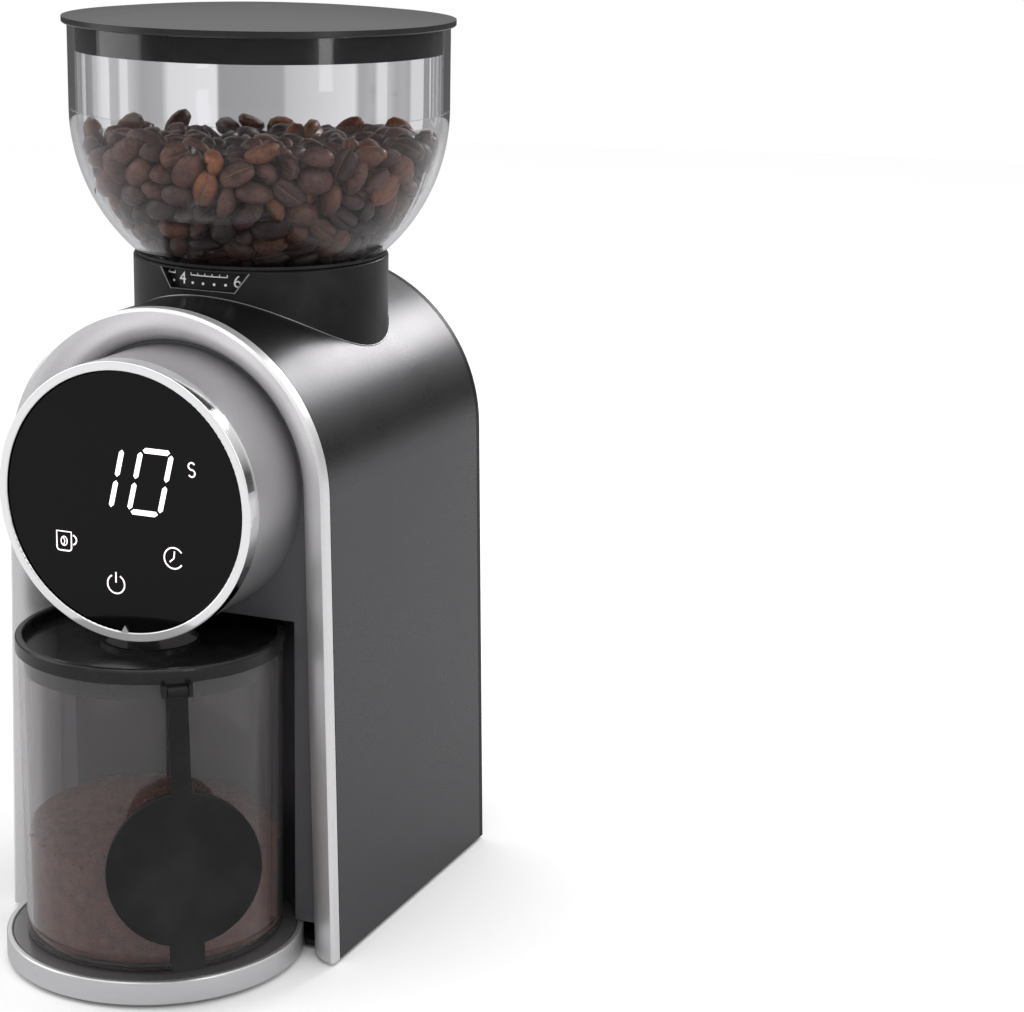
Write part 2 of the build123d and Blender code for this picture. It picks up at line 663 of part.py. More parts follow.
def grinding_chamber():
    """Fixed cup round the burrs, with an outlet at the front and a flange for the collar."""
    cup = disc(CHAMBER_R, CHAMBER_BOTTOM, CHAMBER_TOP)
    cup -= disc(CHAMBER_R - CHAMBER_WALL, CHAMBER_FLOOR, CHAMBER_TOP + 1)
    flange_r = COLLAR_R - COLLAR_WALL - SLIP
    cup += ring(flange_r, CHAMBER_R - 0.5, CHAMBER_TOP - 2.5, CHAMBER_TOP)
    cup += ring(COLLAR_R + 0.5, flange_r - 0.5, CHAMBER_TOP - 2.5, CHAMBER_TOP - SLIP)
    half = CHUTE_W / 2 - CHUTE_WALL
    top = chute_points()[0][1] - CHUTE_WALL
    outlet = block(-half, half, -CHAMBER_R - 1, -CHAMBER_R / 2, CHAMBER_FLOOR, top)
    cup -= disc(BEARING_R + SLIP, CHAMBER_BOTTOM - 1, CHAMBER_FLOOR + 1)
    cup -= disc(DETENT_R + SLIP, 0, CHAMBER_TOP + 1, x=-DETENT_X)
    key = block(-2, 2, CHAMBER_R - CHAMBER_WALL - 1.2, CHAMBER_R - 1, CHAMBER_FLOOR + 12, CHAMBER_TOP - 3)
    return cup - outlet + key


def detent_plunger():
    """Sprung pin that clicks under the adjusting ring."""
    x = -DETENT_X
    top = ADJUST_BOTTOM - 0.25
    return disc(DETENT_R, CHAMBER_TOP - 6, top, x=x) + disc(0.8, CHAMBER_TOP - 13, CHAMBER_TOP - 6, x=x)


def detent_spring():
    turns = 5
    wire = 0.25
    low = CHAMBER_TOP - 12.6
    pitch = (CHAMBER_TOP - 6 - low - 2 * wire - 0.3) / turns
    return Pos(-DETENT_X, 0, low + wire) * coil(1.25, wire, turns, pitch)


def hopper_switch():
    """Small switch under the flange that stops the motor when the hopper is off."""
    high = CHAMBER_TOP - 2.5 - SLIP
    body = block(-9.5, 9.5, CHAMBER_R + 0.5, CHAMBER_R + 7, high - 10, high)
    front, back = CHAMBER_R + 2, CHAMBER_R + 5
    terminals = [block(x - 0.4, x + 0.4, front, back, high - 14, high - 9.9) for x in (-6, 0, 6)]
    return body + terminals


def adjusting_ring():
    """Ring that the hopper turns to set the grind. A thread in its foot moves the burr carrier."""
    body = ring(ADJUST_R, ADJUST_R - ADJUST_WALL, ADJUST_BOTTOM, ADJUST_TOP)
    foot = ring(ADJUST_R - 0.5, THREAD_R, ADJUST_BOTTOM, THREAD_TOP)
    notches = []
    for step in range(18):
        notches.append(Rot(0, 0, step * 20 + 180) * disc(0.7, 0, ADJUST_BOTTOM + 0.8, x=DETENT_X))
    return body + foot - notches


def scale_band():
    """Printed band in a groove of the hopper's base, behind the collar's window."""
    return ring(ADJUST_R, ADJUST_R - 0.6, SCALE_LOW, SCALE_HIGH)


def burr_carrier():
    """Threaded sleeve that holds the ring burr and slides up and down in the chamber."""
    low = RING_BURR_BOTTOM - 5.0
    skirt = ring(CARRIER_SKIRT_R, CARRIER_BORE, low, ADJUST_BOTTOM)
    head = ring(CARRIER_R, CARRIER_BORE, ADJUST_BOTTOM - 0.1 + CARRIER_DROP, THREAD_TOP - 1.5)
    neck = ring(CARRIER_SKIRT_R, CARRIER_BORE, ADJUST_BOTTOM - 0.1, ADJUST_BOTTOM + CARRIER_DROP)
    lip = ring(CARRIER_BORE + 0.5, THROAT_R - 1, RING_BURR_TOP + SLIP, RING_BURR_TOP + 2.5)
    keyway = block(-2.4, 2.4, CARRIER_SKIRT_R - 1.8, CARRIER_SKIRT_R + 1, low - 1, ADJUST_BOTTOM)
    grooves = []
    for turn in range(3):
        z = THREAD_TOP - 4.0 - turn * 4.0
        grooves.append(ring(CARRIER_R + 1, CARRIER_R - 0.6, z - 0.6, z + 0.6))
    return skirt + neck + head + lip - keyway - grooves


def ring_burr():
    """Outer burr: a steel ring with slanting grooves on its tapered inner face."""
    bore = [(RING_BURR_FOOT_R, RING_BURR_BOTTOM - 1), (RING_BURR_TOP_R, RING_BURR_TOP + 1)]
    edges = outline([(0, bore[0][1]), bore[0], bore[1], (0, bore[1][1])])
    burr = disc(CARRIER_BORE - SLIP, RING_BURR_BOTTOM, RING_BURR_TOP) - turned(edges)
    groove = Box(1.6, 2.4, 1.4 * RING_BURR_H)
    grooves = []
    for step in range(BURR_TEETH):
        lean = Rot(0, 0, step * 360 / BURR_TEETH) * Pos(RING_BURR_TOP_R + 1.2, 0, RING_BURR_TOP)
        grooves.append(lean * Rot(18, 0, 0) * groove)
    return burr - grooves


def cone_burr():
    """Inner burr: a cone with slanting cutting ridges, keyed to the shaft."""
    low = RING_BURR_BOTTOM - 3.0
    high = RING_BURR_TOP + 2.0
    foot = RING_BURR_FOOT_R - BURR_GAP
    taper = (RING_BURR_FOOT_R - RING_BURR_TOP_R) / RING_BURR_H
    tip = foot - taper * (high - low)
    core_top = SHAFT_R + 5.0
    core_foot = foot - 2.0
    core = turned(outline([(0, low), (core_foot, low), (core_top, high), (0, high)]))
    envelope = turned(outline([(0, low), (foot, low), (tip - 4.0, high), (0, high)]))
    ridge = Pos(foot / 2, 0, (low + high) / 2) * Box(foot + 8, 2.2, 2 * (high - low))
    placed = [Rot(0, 0, a * 45) * tilted_ridge(ridge, (low + high) / 2) for a in range(8)]
    body = core
    for one in placed:
        body += one & envelope
    return body - disc(SHAFT_R + 0.02, low - 1, high + 1)


def tilted_ridge(ridge, height):
    """Leans a ridge about its own middle height, so that the ridges spiral."""
    return Pos(0, 0, height) * Rot(20, 0, 0) * Pos(0, 0, -height) * ridge


def impeller():
    """Disc with vanes that sweeps the grounds round to the outlet."""
    low = CHAMBER_FLOOR + 1.5
    sweep_r = CARRIER_BORE - 1.0
    rotor = disc(sweep_r, low, low + 2)
    for step in range(6):
        vane = block(SHAFT_R + 5, sweep_r, -1.2, 1.2, low + 1.9, low + 7)
        rotor += Rot(0, 0, step * 60) * vane
    rotor += disc(SHAFT_R + 6, low, RING_BURR_BOTTOM - 3.1)
    return rotor - disc(SHAFT_R + 0.02, low - 1, low + 20)


def burr_nut():
    """Hexagon nut that clamps the cone burr."""
    low = RING_BURR_TOP + 2.1
    nut = extrude(Pos(0, 0, low) * RegularPolygon(7.5, 6), 4)
    return nut - disc(SHAFT_R + 0.02, low - 1, low + 6)


def burr_shaft():
    low = CASE_FLOOR_TOP + 0.3
    shaft = disc(SHAFT_R, low, RING_BURR_TOP + 8)
    return chamfer(shaft.faces().sort_by(Axis.Z)[-1].edges(), 0.8)


def shaft_bearings():
    """Ball bearings shown as closed rings: one in the chamber's floor, one in the gearbox floor."""
    high = ring(BEARING_R, SHAFT_R + RUNNING, CHAMBER_BOTTOM - 2.4, CHAMBER_FLOOR - SLIP)
    low = ring(BEARING_R - 1, SHAFT_R + RUNNING, CASE_FLOOR_TOP - 1.9, CASE_FLOOR_TOP + 1.5)
    return [high, low]


def shaft_seal():
    """Felt ring that keeps grounds out of the upper bearing."""
    return ring(BEARING_R - 2, SHAFT_R + RUNNING, CHAMBER_FLOOR, CHAMBER_FLOOR + 1.0)


# Gears


def gear_profile(teeth, turn):
    """Involute gear outline with one tooth centred at the turn angle."""
    pitch_r = MODULE * teeth / 2
    base_r = pitch_r * cos(radians(PRESSURE_ANGLE))
    tip_r = pitch_r + 0.8 * MODULE
    root_r = pitch_r - 1.05 * MODULE
    half_tooth = (pi * MODULE / 2 - BACKLASH / 2) / (2 * pitch_r)
    spread = tan(radians(PRESSURE_ANGLE)) - radians(PRESSURE_ANGLE)

    def half_angle(r):
        """Angle from the tooth's middle to its flank at a radius."""
        pressure = acos(min(1.0, base_r / r))
        return half_tooth + spread - (tan(pressure) - pressure)

    start = max(root_r, base_r)
    radii = [start + (tip_r - start) * k / 3 for k in range(4)]
    flank = [(r, half_angle(r)) for r in radii]
    if root_r < base_r:
        flank.insert(0, (root_r, half_angle(base_r)))
    corners = []
    for tooth in range(teeth):
        middle = radians(turn) + 2 * pi * tooth / teeth
        corners += [(r * cos(middle - a), r * sin(middle - a)) for r, a in flank]
        corners += [(r * cos(middle + a), r * sin(middle + a)) for r, a in reversed(flank)]
    return make_face(Polyline(*corners, close=True))


def gear(teeth, low, x, y, bore, turn):
    wheel = extrude(Pos(x, y, low) * gear_profile(teeth, turn), GEAR_FACE)
    return wheel - disc(bore, low - 1, low + GEAR_FACE + 1, x, y)


def gap_facing(direction, teeth):
    """Turn angle that puts a gap between teeth where the other gear's tooth comes in."""
    return direction + 180 + 180 / teeth


def drive_gear():
    """Large slow gear on the burr shaft, lightened with a ring of holes."""
    wheel = gear(DRIVE_TEETH, SMALL_GEAR_Z, 0, 0, SHAFT_R + 0.02, DRIVE_TURN)
    hole_r = (MODULE * DRIVE_TEETH / 2 - SHAFT_R) / 6
    middle = (MODULE * DRIVE_TEETH / 2 + SHAFT_R) / 2
    holes = [Rot(0, 0, a * 60) * disc(hole_r, 0, CHAMBER_TOP, x=middle) for a in range(6)]
    return wheel - holes


def idler_gear():
    """Two-step gear: the motor drives its large wheel, and its small wheel drives the burr shaft."""
    bore = IDLER_PIN_R + RUNNING
    small_turn = gap_facing(DRIVE_TURN, IDLER_SMALL_TEETH)
    small = gear(IDLER_SMALL_TEETH, SMALL_GEAR_Z, IDLER_X, IDLER_Y, bore, small_turn)
    large = gear(IDLER_LARGE_TEETH, LARGE_GEAR_Z, IDLER_X, IDLER_Y, bore, IDLER_TURN)
    hub_r = MODULE * IDLER_SMALL_TEETH / 2 - 1.1
    hub = ring(hub_r, bore, SMALL_GEAR_Z + GEAR_FACE - 0.5, LARGE_GEAR_Z + 0.5, IDLER_X, IDLER_Y)
    return small + hub + large


def idler_pin():
    low = CASE_FLOOR_TOP - 1.5
    return disc(IDLER_PIN_R, low, GEAR_COVER_BOTTOM + 1.0, IDLER_X, IDLER_Y)


def motor_pinion():
    turn = gap_facing(IDLER_TURN, MOTOR_TEETH)
    return gear(MOTOR_TEETH, LARGE_GEAR_Z, 0, MOTOR_Y, MOTOR_SHAFT_R + 0.02, turn)


def case_block(inset, low, high):
    """Rounded box in plan round all the gears."""
    width = CASE_RIGHT - CASE_LEFT - 2 * inset
    depth = CASE_BACK - CASE_FRONT - 2 * inset
    plan = RectangleRounded(width, depth, 9.0 - inset)
    middle = ((CASE_LEFT + CASE_RIGHT) / 2, (CASE_FRONT + CASE_BACK) / 2)
    return extrude(Pos(middle[0], middle[1], low) * plan, high - low)


def case_corners():
    inset = 6.0
    return [
        (x, y)
        for x in (CASE_LEFT + inset, CASE_RIGHT - inset)
        for y in (CASE_FRONT + inset, CASE_BACK - inset)
    ]


def gearbox_case():
    """Tray that holds the gears and hangs the motor, with an ear on each side for the shell."""
    tray = case_block(0, CASE_BOTTOM, GEAR_COVER_BOTTOM - SLIP)
    tray -= case_block(CASE_WALL, CASE_FLOOR_TOP, GEAR_COVER_BOTTOM + 1)
    for x, y in case_corners():
        post = disc(3.6, CASE_FLOOR_TOP - 0.5, GEAR_COVER_BOTTOM - SLIP, x, y)
        tray += post
    for x, y in case_corners():
        tray -= disc(SCREW_R + SLIP, CASE_FLOOR_TOP + 4, GEAR_COVER_TOP, x, y)
    ear = (ARCH_R - SHELL_WALL) * cos(radians(FLARE)) - FREE
    tray += block(-ear, CASE_LEFT + 1, -9, 9, CASE_BOTTOM, CASE_BOTTOM + 7)
    tray += block(CASE_RIGHT - 1, ear, -9, 9, CASE_BOTTOM, CASE_BOTTOM + 7)
    tray -= disc(BEARING_R - 1 + SLIP, CASE_FLOOR_TOP - 2, CASE_FLOOR_TOP + 3)
    tray -= disc(IDLER_PIN_R + 0.02, CASE_FLOOR_TOP - 1.6, CASE_FLOOR_TOP + 3, IDLER_X, IDLER_Y)
    for x, y in motor_screw_places():
        tray -= disc(SCREW_R + SLIP, CASE_BOTTOM - 1, CASE_FLOOR_TOP + 1, x, y)
    return tray - disc(MOTOR_BOSS_R + SLIP, CASE_BOTTOM - 1, CASE_FLOOR_TOP + 1, 0, MOTOR_Y)


def gearbox_cover():
    """Lid of the gearbox, bored for the upper bearing and the idler pin."""
    lid = case_block(0, GEAR_COVER_BOTTOM, GEAR_COVER_TOP)
    lid -= disc(BEARING_R + SLIP, GEAR_COVER_BOTTOM - 1, GEAR_COVER_TOP + 1)
    lid -= disc(IDLER_PIN_R + 0.02, GEAR_COVER_BOTTOM - 1, GEAR_COVER_BOTTOM + 1.1, IDLER_X, IDLER_Y)
    lid -= [disc(SCREW_R + SLIP, 0, GEAR_COVER_TOP + 1, x, y) for x, y in case_corners()]
    seat = GEAR_COVER_TOP - SCREW_HEAD_H
    return lid - [disc(SCREW_HEAD_R + SLIP, seat, GEAR_COVER_TOP + 1, x, y) for x, y in case_corners()]


def gearbox_screws():
    """Cover screws that reach down into the case's posts."""
    down = Rot(180, 0, 0)
    return [screw(x, y, GEAR_COVER_TOP - SCREW_HEAD_H, 9, down) for x, y in case_corners()]


# Motor


def motor_screw_places():
    return [(-12.0, MOTOR_Y), (12.0, MOTOR_Y)]


def motor_can():
    """Closed-top drum with a boss that centres it in the gearbox floor."""
    can = disc(MOTOR_R, MOTOR_BOTTOM, MOTOR_TOP, 0, MOTOR_Y)
    can = fillet(can.faces().sort_by(Axis.Z)[-1].edges(), 1.2)
    can += disc(MOTOR_BOSS_R, MOTOR_TOP - 1, MOTOR_TOP + 2.0, 0, MOTOR_Y)
    can -= disc(MOTOR_R - MOTOR_WALL, MOTOR_BOTTOM - 1, MOTOR_TOP - MOTOR_WALL, 0, MOTOR_Y)
    can -= disc(MOTOR_SHAFT_R + RUNNING, 0, MOTOR_TOP + 9, 0, MOTOR_Y)
    for x, y in motor_screw_places():
        can -= disc(SCREW_R + SLIP, MOTOR_TOP - 3, MOTOR_TOP + 1, x, y)
    return can


def motor_screws():
    """Screws from inside the gearbox down into the motor's end."""
    down = Rot(180, 0, 0)
    return [screw(x, y, CASE_FLOOR_TOP + SLIP, 4.5, down) for x, y in motor_screw_places()]


def motor_end_cap():
    """Lower cap of the motor, with a bearing boss and two lead tags."""
    cap = disc(MOTOR_R, MOTOR_BOTTOM - 3, MOTOR_BOTTOM - SLIP, 0, MOTOR_Y)
    cap += disc(7.0, MOTOR_BOTTOM - 5.5, MOTOR_BOTTOM - 2.9, 0, MOTOR_Y)
    for x in (-12, 12):
        cap += block(x - 2.4, x + 2.4, MOTOR_Y - 8.4, MOTOR_Y - 7.6, MOTOR_BOTTOM - 10, MOTOR_BOTTOM - 2.9)
    return cap - disc(MOTOR_SHAFT_R + RUNNING, 0, MOTOR_BOTTOM + 9, 0, MOTOR_Y)


def motor_magnets():
    """Two arc magnets inside the can."""
    outer = MOTOR_R - MOTOR_WALL - SLIP
    arcs = ring(outer, outer - 5, MOTOR_BOTTOM + 14, MOTOR_TOP - 10, 0, MOTOR_Y)
    gap = block(-3, 3, MOTOR_Y - 2 * MOTOR_R, MOTOR_Y + 2 * MOTOR_R, 0, MOTOR_TOP + 1)
    return arcs - gap


def rotor_core():
    """Slotted armature and commutator on the motor shaft."""
    core_r = MOTOR_R - MOTOR_WALL - SLIP - 5 - 0.8
    core = disc(core_r, MOTOR_BOTTOM + 16, MOTOR_TOP - 12, 0, MOTOR_Y)
    for step in range(10):
        slot = block(core_r * 0.5, core_r + 1, -0.9, 0.9, 0, MOTOR_TOP)
        core -= Pos(0, MOTOR_Y, 0) * Rot(0, 0, step * 36) * slot
    core += disc(5.5, MOTOR_BOTTOM + 4, MOTOR_BOTTOM + 16.1, 0, MOTOR_Y)
    return core - disc(MOTOR_SHAFT_R + 0.02, 0, MOTOR_TOP, 0, MOTOR_Y)


def motor_shaft():
    return disc(MOTOR_SHAFT_R, MOTOR_SHAFT_BOTTOM, LARGE_GEAR_Z + GEAR_FACE + 1, 0, MOTOR_Y)


# Power board


def power_board():
    """Circuit board on four posts from the back cover."""
    front = SHELL_BACK - 14
    board = block(-40, 40, front, front + 1.6, BOARD_BOTTOM, BOARD_TOP)
    for x in (-36, 36):
        for z in (BOARD_BOTTOM + 4, BOARD_TOP - 4):
            board += dial(2.5, front + 1.5, SHELL_BACK, x, z)
    return board


def board_components():
    """Transformer, two capacitors, a relay and a terminal block on the power board."""
    face = SHELL_BACK - 14 - SLIP
    middle = (BOARD_BOTTOM + BOARD_TOP) / 2
    parts = [
        block(-34, -8, face - 20, face, middle - 12, middle + 12),
        dial(6.5, face - 18, face, 4, middle + 8),
        dial(4.5, face - 13, face, 5, middle - 12),
        block(15, 34, face - 15, face, middle, middle + 14),
        block(13, 36, face - 11, face, middle - 18, middle - 6),
    ]
    return [fillet(p.faces().sort_by(Axis.Y)[0].edges(), 0.8) for p in parts]


# Canister


def canister_jar():
    """Tapered clear jar with a thick rounded floor."""
    low, high = CAN_BOTTOM, CAN_TOP
    floor = low + 3.4
    inner_foot, inner_top = CAN_R - CAN_WALL, CAN_TOP_R - CAN_WALL
    corner = 3.0
    edges = [
        Line((0, 0, low + 0.8), (inner_foot - 6, 0, low + 0.8)),
        Line((inner_foot - 6, 0, low + 0.8), (inner_foot - 5, 0, low)),
        Line((inner_foot - 5, 0, low), (CAN_R - 1.5, 0, low)),
        ThreePointArc((CAN_R - 1.5, 0, low), (CAN_R - 0.44, 0, low + 0.44), (CAN_R, 0, low + 1.5)),
        Line((CAN_R, 0, low + 1.5), (CAN_TOP_R, 0, high)),
        Line((CAN_TOP_R, 0, high), (inner_top, 0, high)),
        Line((inner_top, 0, high), (inner_foot, 0, floor + corner)),
        ThreePointArc(
            (inner_foot, 0, floor + corner),
            (inner_foot - corner * 0.293, 0, floor + corner * 0.293),
            (inner_foot - corner, 0, floor),
        ),
        Line((inner_foot - corner, 0, floor), (0, 0, floor)),
        Line((0, 0, floor), (0, 0, low + 0.8)),
    ]
    return turned(edges, y=CAN_Y)


def canister_lid():
    """Cap with a raised rim, a sunk floor with the filling hole, and ears for the stopper's pin."""
    edge, top = LID_EDGE_Z, LID_RIM_TOP
    rim = ring(CAN_LID_R, CAN_LID_R - 3.4, edge, top, y=CAN_Y)
    rim = fillet(rim.faces().sort_by(Axis.Z)[-1].edges(), 1.1)
    floor = ring(CAN_LID_R - 3, LID_HOLE_R, edge, edge + LID_T, y=CAN_Y)
    curb = ring(LID_HOLE_R + 1.6, LID_HOLE_R, edge, edge + LID_T + 1.2, y=CAN_Y)
    skirt_r = CAN_TOP_R - CAN_WALL - 0.35
    skirt = ring(skirt_r, skirt_r - 1.8, edge - 7.0, edge + 0.1, y=CAN_Y)
    return rim + floor + curb + skirt + stopper_place() * stopper_ears()


def stopper_place():
    """Turns the stopper's own axes to its place on the lid: -Y points out of the canister."""
    return Pos(0, CAN_Y, 0) * Rot(0, 0, STOPPER_AZIMUTH)


def stopper_ears():
    """Two ears under the lid's edge with the stopper's pin across them."""
    inner = STRAP_W / 2 + FREE
    outer = inner + 1.5
    front = PIN_Y - 1.9
    back = -(CAN_TOP_R + 0.45)
    ears = block(inner, outer, front, back, PIN_Z - 1.9, LID_EDGE_Z + 0.4)
    ears += block(-outer, -inner, front, back, PIN_Z - 1.9, LID_EDGE_Z + 0.4)
    pin = Pos(-outer, PIN_Y, PIN_Z) * Rot(0, 90, 0) * Cylinder(EYE_PIN_R, 2 * outer, align=UP)
    return ears + pin


def stopper():
    """Rubber stopper for the lid's hole: an eye, a strap, a round disc with its plug, and a tab."""
    half_t = STOPPER_T / 2
    half_w = STRAP_W / 2
    centre_z = PIN_Z - STOPPER_DROP
    eye = Pos(-half_w, PIN_Y, PIN_Z) * Rot(0, 90, 0) * Cylinder(EYE_PIN_R + 1.1, STRAP_W, align=UP)
    strap = block(-half_w, half_w, PIN_Y - half_t, PIN_Y + half_t, centre_z, PIN_Z)
    plate = dial(STOPPER_DISC_R, PIN_Y - half_t, PIN_Y + half_t, 0, centre_z)
    plate = fillet(plate.faces().sort_by(Axis.Y)[0].edges(), 0.7)
    plug_r = LID_HOLE_R - 0.5
    plug = dial(plug_r, PIN_Y + half_t - 0.1, PIN_Y + half_t + PLUG_DEPTH, 0, centre_z)
    plug -= dial(plug_r - 2, PIN_Y + half_t + 1.5, PIN_Y + 2 * PLUG_DEPTH, 0, centre_z)
    tab_low = centre_z - STOPPER_DISC_R - TAB_L + 2.0
    tab = block(-TAB_W / 2, TAB_W / 2, PIN_Y - half_t, PIN_Y + half_t, tab_low, centre_z)
    tab = fillet(tab.edges().filter_by(Axis.Y).sort_by(Axis.Z)[:2], 2.2)
    hung = eye + strap + plate + tab + plug
    hung -= Pos(-STRAP_W, PIN_Y, PIN_Z) * Rot(0, 90, 0) * Cylinder(EYE_PIN_R + 0.12, 2 * STRAP_W, align=UP)
    lean = Pos(0, PIN_Y, PIN_Z) * Rot(-STOPPER_LEAN, 0, 0) * Pos(0, -PIN_Y, -PIN_Z)
    return stopper_place() * lean * hung


# Hopper


def hopper_bowl():
    """Clear bowl: a straight wall on a half ball, with a throat that reaches down to the burrs."""
    neck_z = BOWL_Z - sqrt(BOWL_R**2 - NECK_R**2)
    throat_z = BOWL_Z - sqrt(BOWL_INNER_R**2 - THROAT_R**2)
    slant = sin(radians(45))
    edges = [
        Line((BOWL_INNER_R, 0, BOWL_TOP), (BOWL_R, 0, BOWL_TOP)),
        Line((BOWL_R, 0, BOWL_TOP), (BOWL_R, 0, BOWL_Z)),
        ThreePointArc(
            (BOWL_R, 0, BOWL_Z),
            (BOWL_R * slant, 0, BOWL_Z - BOWL_R * slant),
            (NECK_R, 0, neck_z),
        ),
        Line((NECK_R, 0, neck_z), (NECK_R, 0, THROAT_FOOT)),
        Line((NECK_R, 0, THROAT_FOOT), (THROAT_R, 0, THROAT_FOOT)),
        Line((THROAT_R, 0, THROAT_FOOT), (THROAT_R, 0, throat_z)),
        ThreePointArc(
            (THROAT_R, 0, throat_z),
            (BOWL_INNER_R * slant, 0, BOWL_Z - BOWL_INNER_R * slant),
            (BOWL_INNER_R, 0, BOWL_Z),
        ),
        Line((BOWL_INNER_R, 0, BOWL_Z), (BOWL_INNER_R, 0, BOWL_TOP)),
    ]
    return turned(edges)


def hopper_base():
    """Black ring under the bowl that plugs into the adjusting ring."""
    plug = ring(HOPPER_PLUG_R, NECK_R + SLIP, THREAD_TOP + 1.0, ADJUST_TOP + 1.0)
    seat_ring = ring(ADJUST_R, NECK_R + SLIP, ADJUST_TOP + 0.3, COLLAR_TOP - 1.0)
    groove = ring(ADJUST_R + 1, ADJUST_R - 0.7, SCALE_LOW - SLIP, SCALE_HIGH + SLIP)
    drive_hole = disc(2.0, 0, ADJUST_TOP, x=HOPPER_PLUG_R - 5)
    drive_holes = [Rot(0, 0, turn) * drive_hole for turn in (30, 150, 270)]
    return plug + seat_ring - bowl_ball(SLIP) - groove - drive_holes


def bowl_ball(margin):
    """The ball that the bowl's outside follows, grown by a margin."""
    return Pos(0, 0, BOWL_Z) * Sphere(BOWL_R + margin)


def hopper_seal():
    """Rubber ring in the wedge between the bowl and the collar's rim."""
    wedge = ring(COLLAR_R - 0.6, COLLAR_R - COLLAR_WALL, COLLAR_TOP + FREE, COLLAR_TOP + 2.0)
    return wedge - bowl_ball(SLIP)


def hopper_lid():
    """Crowned round lid with a finger dimple, a thin edge, and a skirt that fits in the bowl."""
    edge_low = LID_EDGE_BOTTOM
    edge_high = edge_low + HOPPER_LID_EDGE
    crown = edge_high + HOPPER_LID_CROWN
    sphere_r = (HOPPER_LID_R**2 + HOPPER_LID_CROWN**2) / (2 * HOPPER_LID_CROWN)
    half = HOPPER_LID_R / 2
    half_z = crown - sphere_r + sqrt(sphere_r**2 - half**2)
    edges = [
        Line((0, 0, edge_low), (HOPPER_LID_R - 0.5, 0, edge_low)),
        Line((HOPPER_LID_R - 0.5, 0, edge_low), (HOPPER_LID_R, 0, edge_low + 0.5)),
        Line((HOPPER_LID_R, 0, edge_low + 0.5), (HOPPER_LID_R, 0, edge_high)),
        ThreePointArc((HOPPER_LID_R, 0, edge_high), (half, 0, half_z), (0, 0, crown)),
        Line((0, 0, crown), (0, 0, edge_low)),
    ]
    lid = turned(edges)
    skirt = ring(LID_SKIRT_R, LID_SKIRT_R - LID_SKIRT_WALL, edge_low - LID_SKIRT_H, edge_low + 0.5)
    dimple = Pos(0, 0, crown + 24.0) * Sphere(24.7)
    return lid + skirt - dimple


PIECES = [
    outer_shell,
    front_bezel,
    front_panel,
    back_cover,
    back_cover_screws,
    cord_gland,
    bottom_cover,
    bottom_screws,
    rubber_feet,
    base_core,
    base_trim_ring,
    base_top_plate,
    head_housing,
    head_screws,
    control_ring,
    display_glass,
    display_carrier,
    display_board,
    digit_display,
    touch_springs,
    grounds_chute,
    spout_seal,
    hopper_collar,
    grinding_chamber,
    detent_plunger,
    detent_spring,
    hopper_switch,
    adjusting_ring,
    scale_band,
    burr_carrier,
    ring_burr,
    cone_burr,
    impeller,
    burr_nut,
    burr_shaft,
    shaft_bearings,
    shaft_seal,
    drive_gear,
    idler_gear,
    idler_pin,
    motor_pinion,
    gearbox_case,
    gearbox_cover,
    gearbox_screws,
    motor_can,
    motor_screws,
    motor_end_cap,
    motor_magnets,
    rotor_core,
    motor_shaft,
    power_board,
    board_components,
    canister_jar,
    canister_lid,
    stopper,
    hopper_bowl,
    hopper_base,
    hopper_seal,
    hopper_lid,
]

os.makedirs("parts", exist_ok=True)
for piece in PIECES:
    made = piece()
    solids = ShapeList(made).solids() if isinstance(made, list) else made.solids()
    shape = solids[0] if len(solids) == 1 else Compound(children=list(solids))
    export_step(shape, f"parts/{piece.__name__}.step")
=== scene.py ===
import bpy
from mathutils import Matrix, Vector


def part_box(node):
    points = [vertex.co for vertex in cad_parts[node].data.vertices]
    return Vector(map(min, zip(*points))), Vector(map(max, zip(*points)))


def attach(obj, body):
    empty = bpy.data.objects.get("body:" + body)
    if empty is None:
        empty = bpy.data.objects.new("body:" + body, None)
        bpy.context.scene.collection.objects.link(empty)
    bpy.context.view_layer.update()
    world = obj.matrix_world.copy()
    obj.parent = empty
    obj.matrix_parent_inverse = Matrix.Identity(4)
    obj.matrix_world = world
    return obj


bl_info = {
    "name": "Burr coffee grinder",
    "version": (1, 0, 0),
    "blender": (4, 5, 0),
    "location": "3D View > Sidebar > Grinder",
    "description": "Finishes, marks and contents for a burr coffee grinder with a hopper and a canister",
    "category": "Object",
}

from math import cos, pi, radians, sin, sqrt

import bmesh
import bpy
import numpy as np
from bpy.props import FloatProperty, FloatVectorProperty, IntProperty, PointerProperty, StringProperty
from mathutils import Matrix, Vector

MM = 0.001
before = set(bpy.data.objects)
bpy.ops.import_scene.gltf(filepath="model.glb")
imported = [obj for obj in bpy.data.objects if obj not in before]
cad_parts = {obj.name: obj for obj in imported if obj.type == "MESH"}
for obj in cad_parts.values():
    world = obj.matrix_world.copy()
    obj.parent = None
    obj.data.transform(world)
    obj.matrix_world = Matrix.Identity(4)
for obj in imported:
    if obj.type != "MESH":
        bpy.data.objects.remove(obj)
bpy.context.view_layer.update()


def centre_of(node):
    """Middle of a node's box."""
    low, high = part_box(node)
    return (low + high) / 2


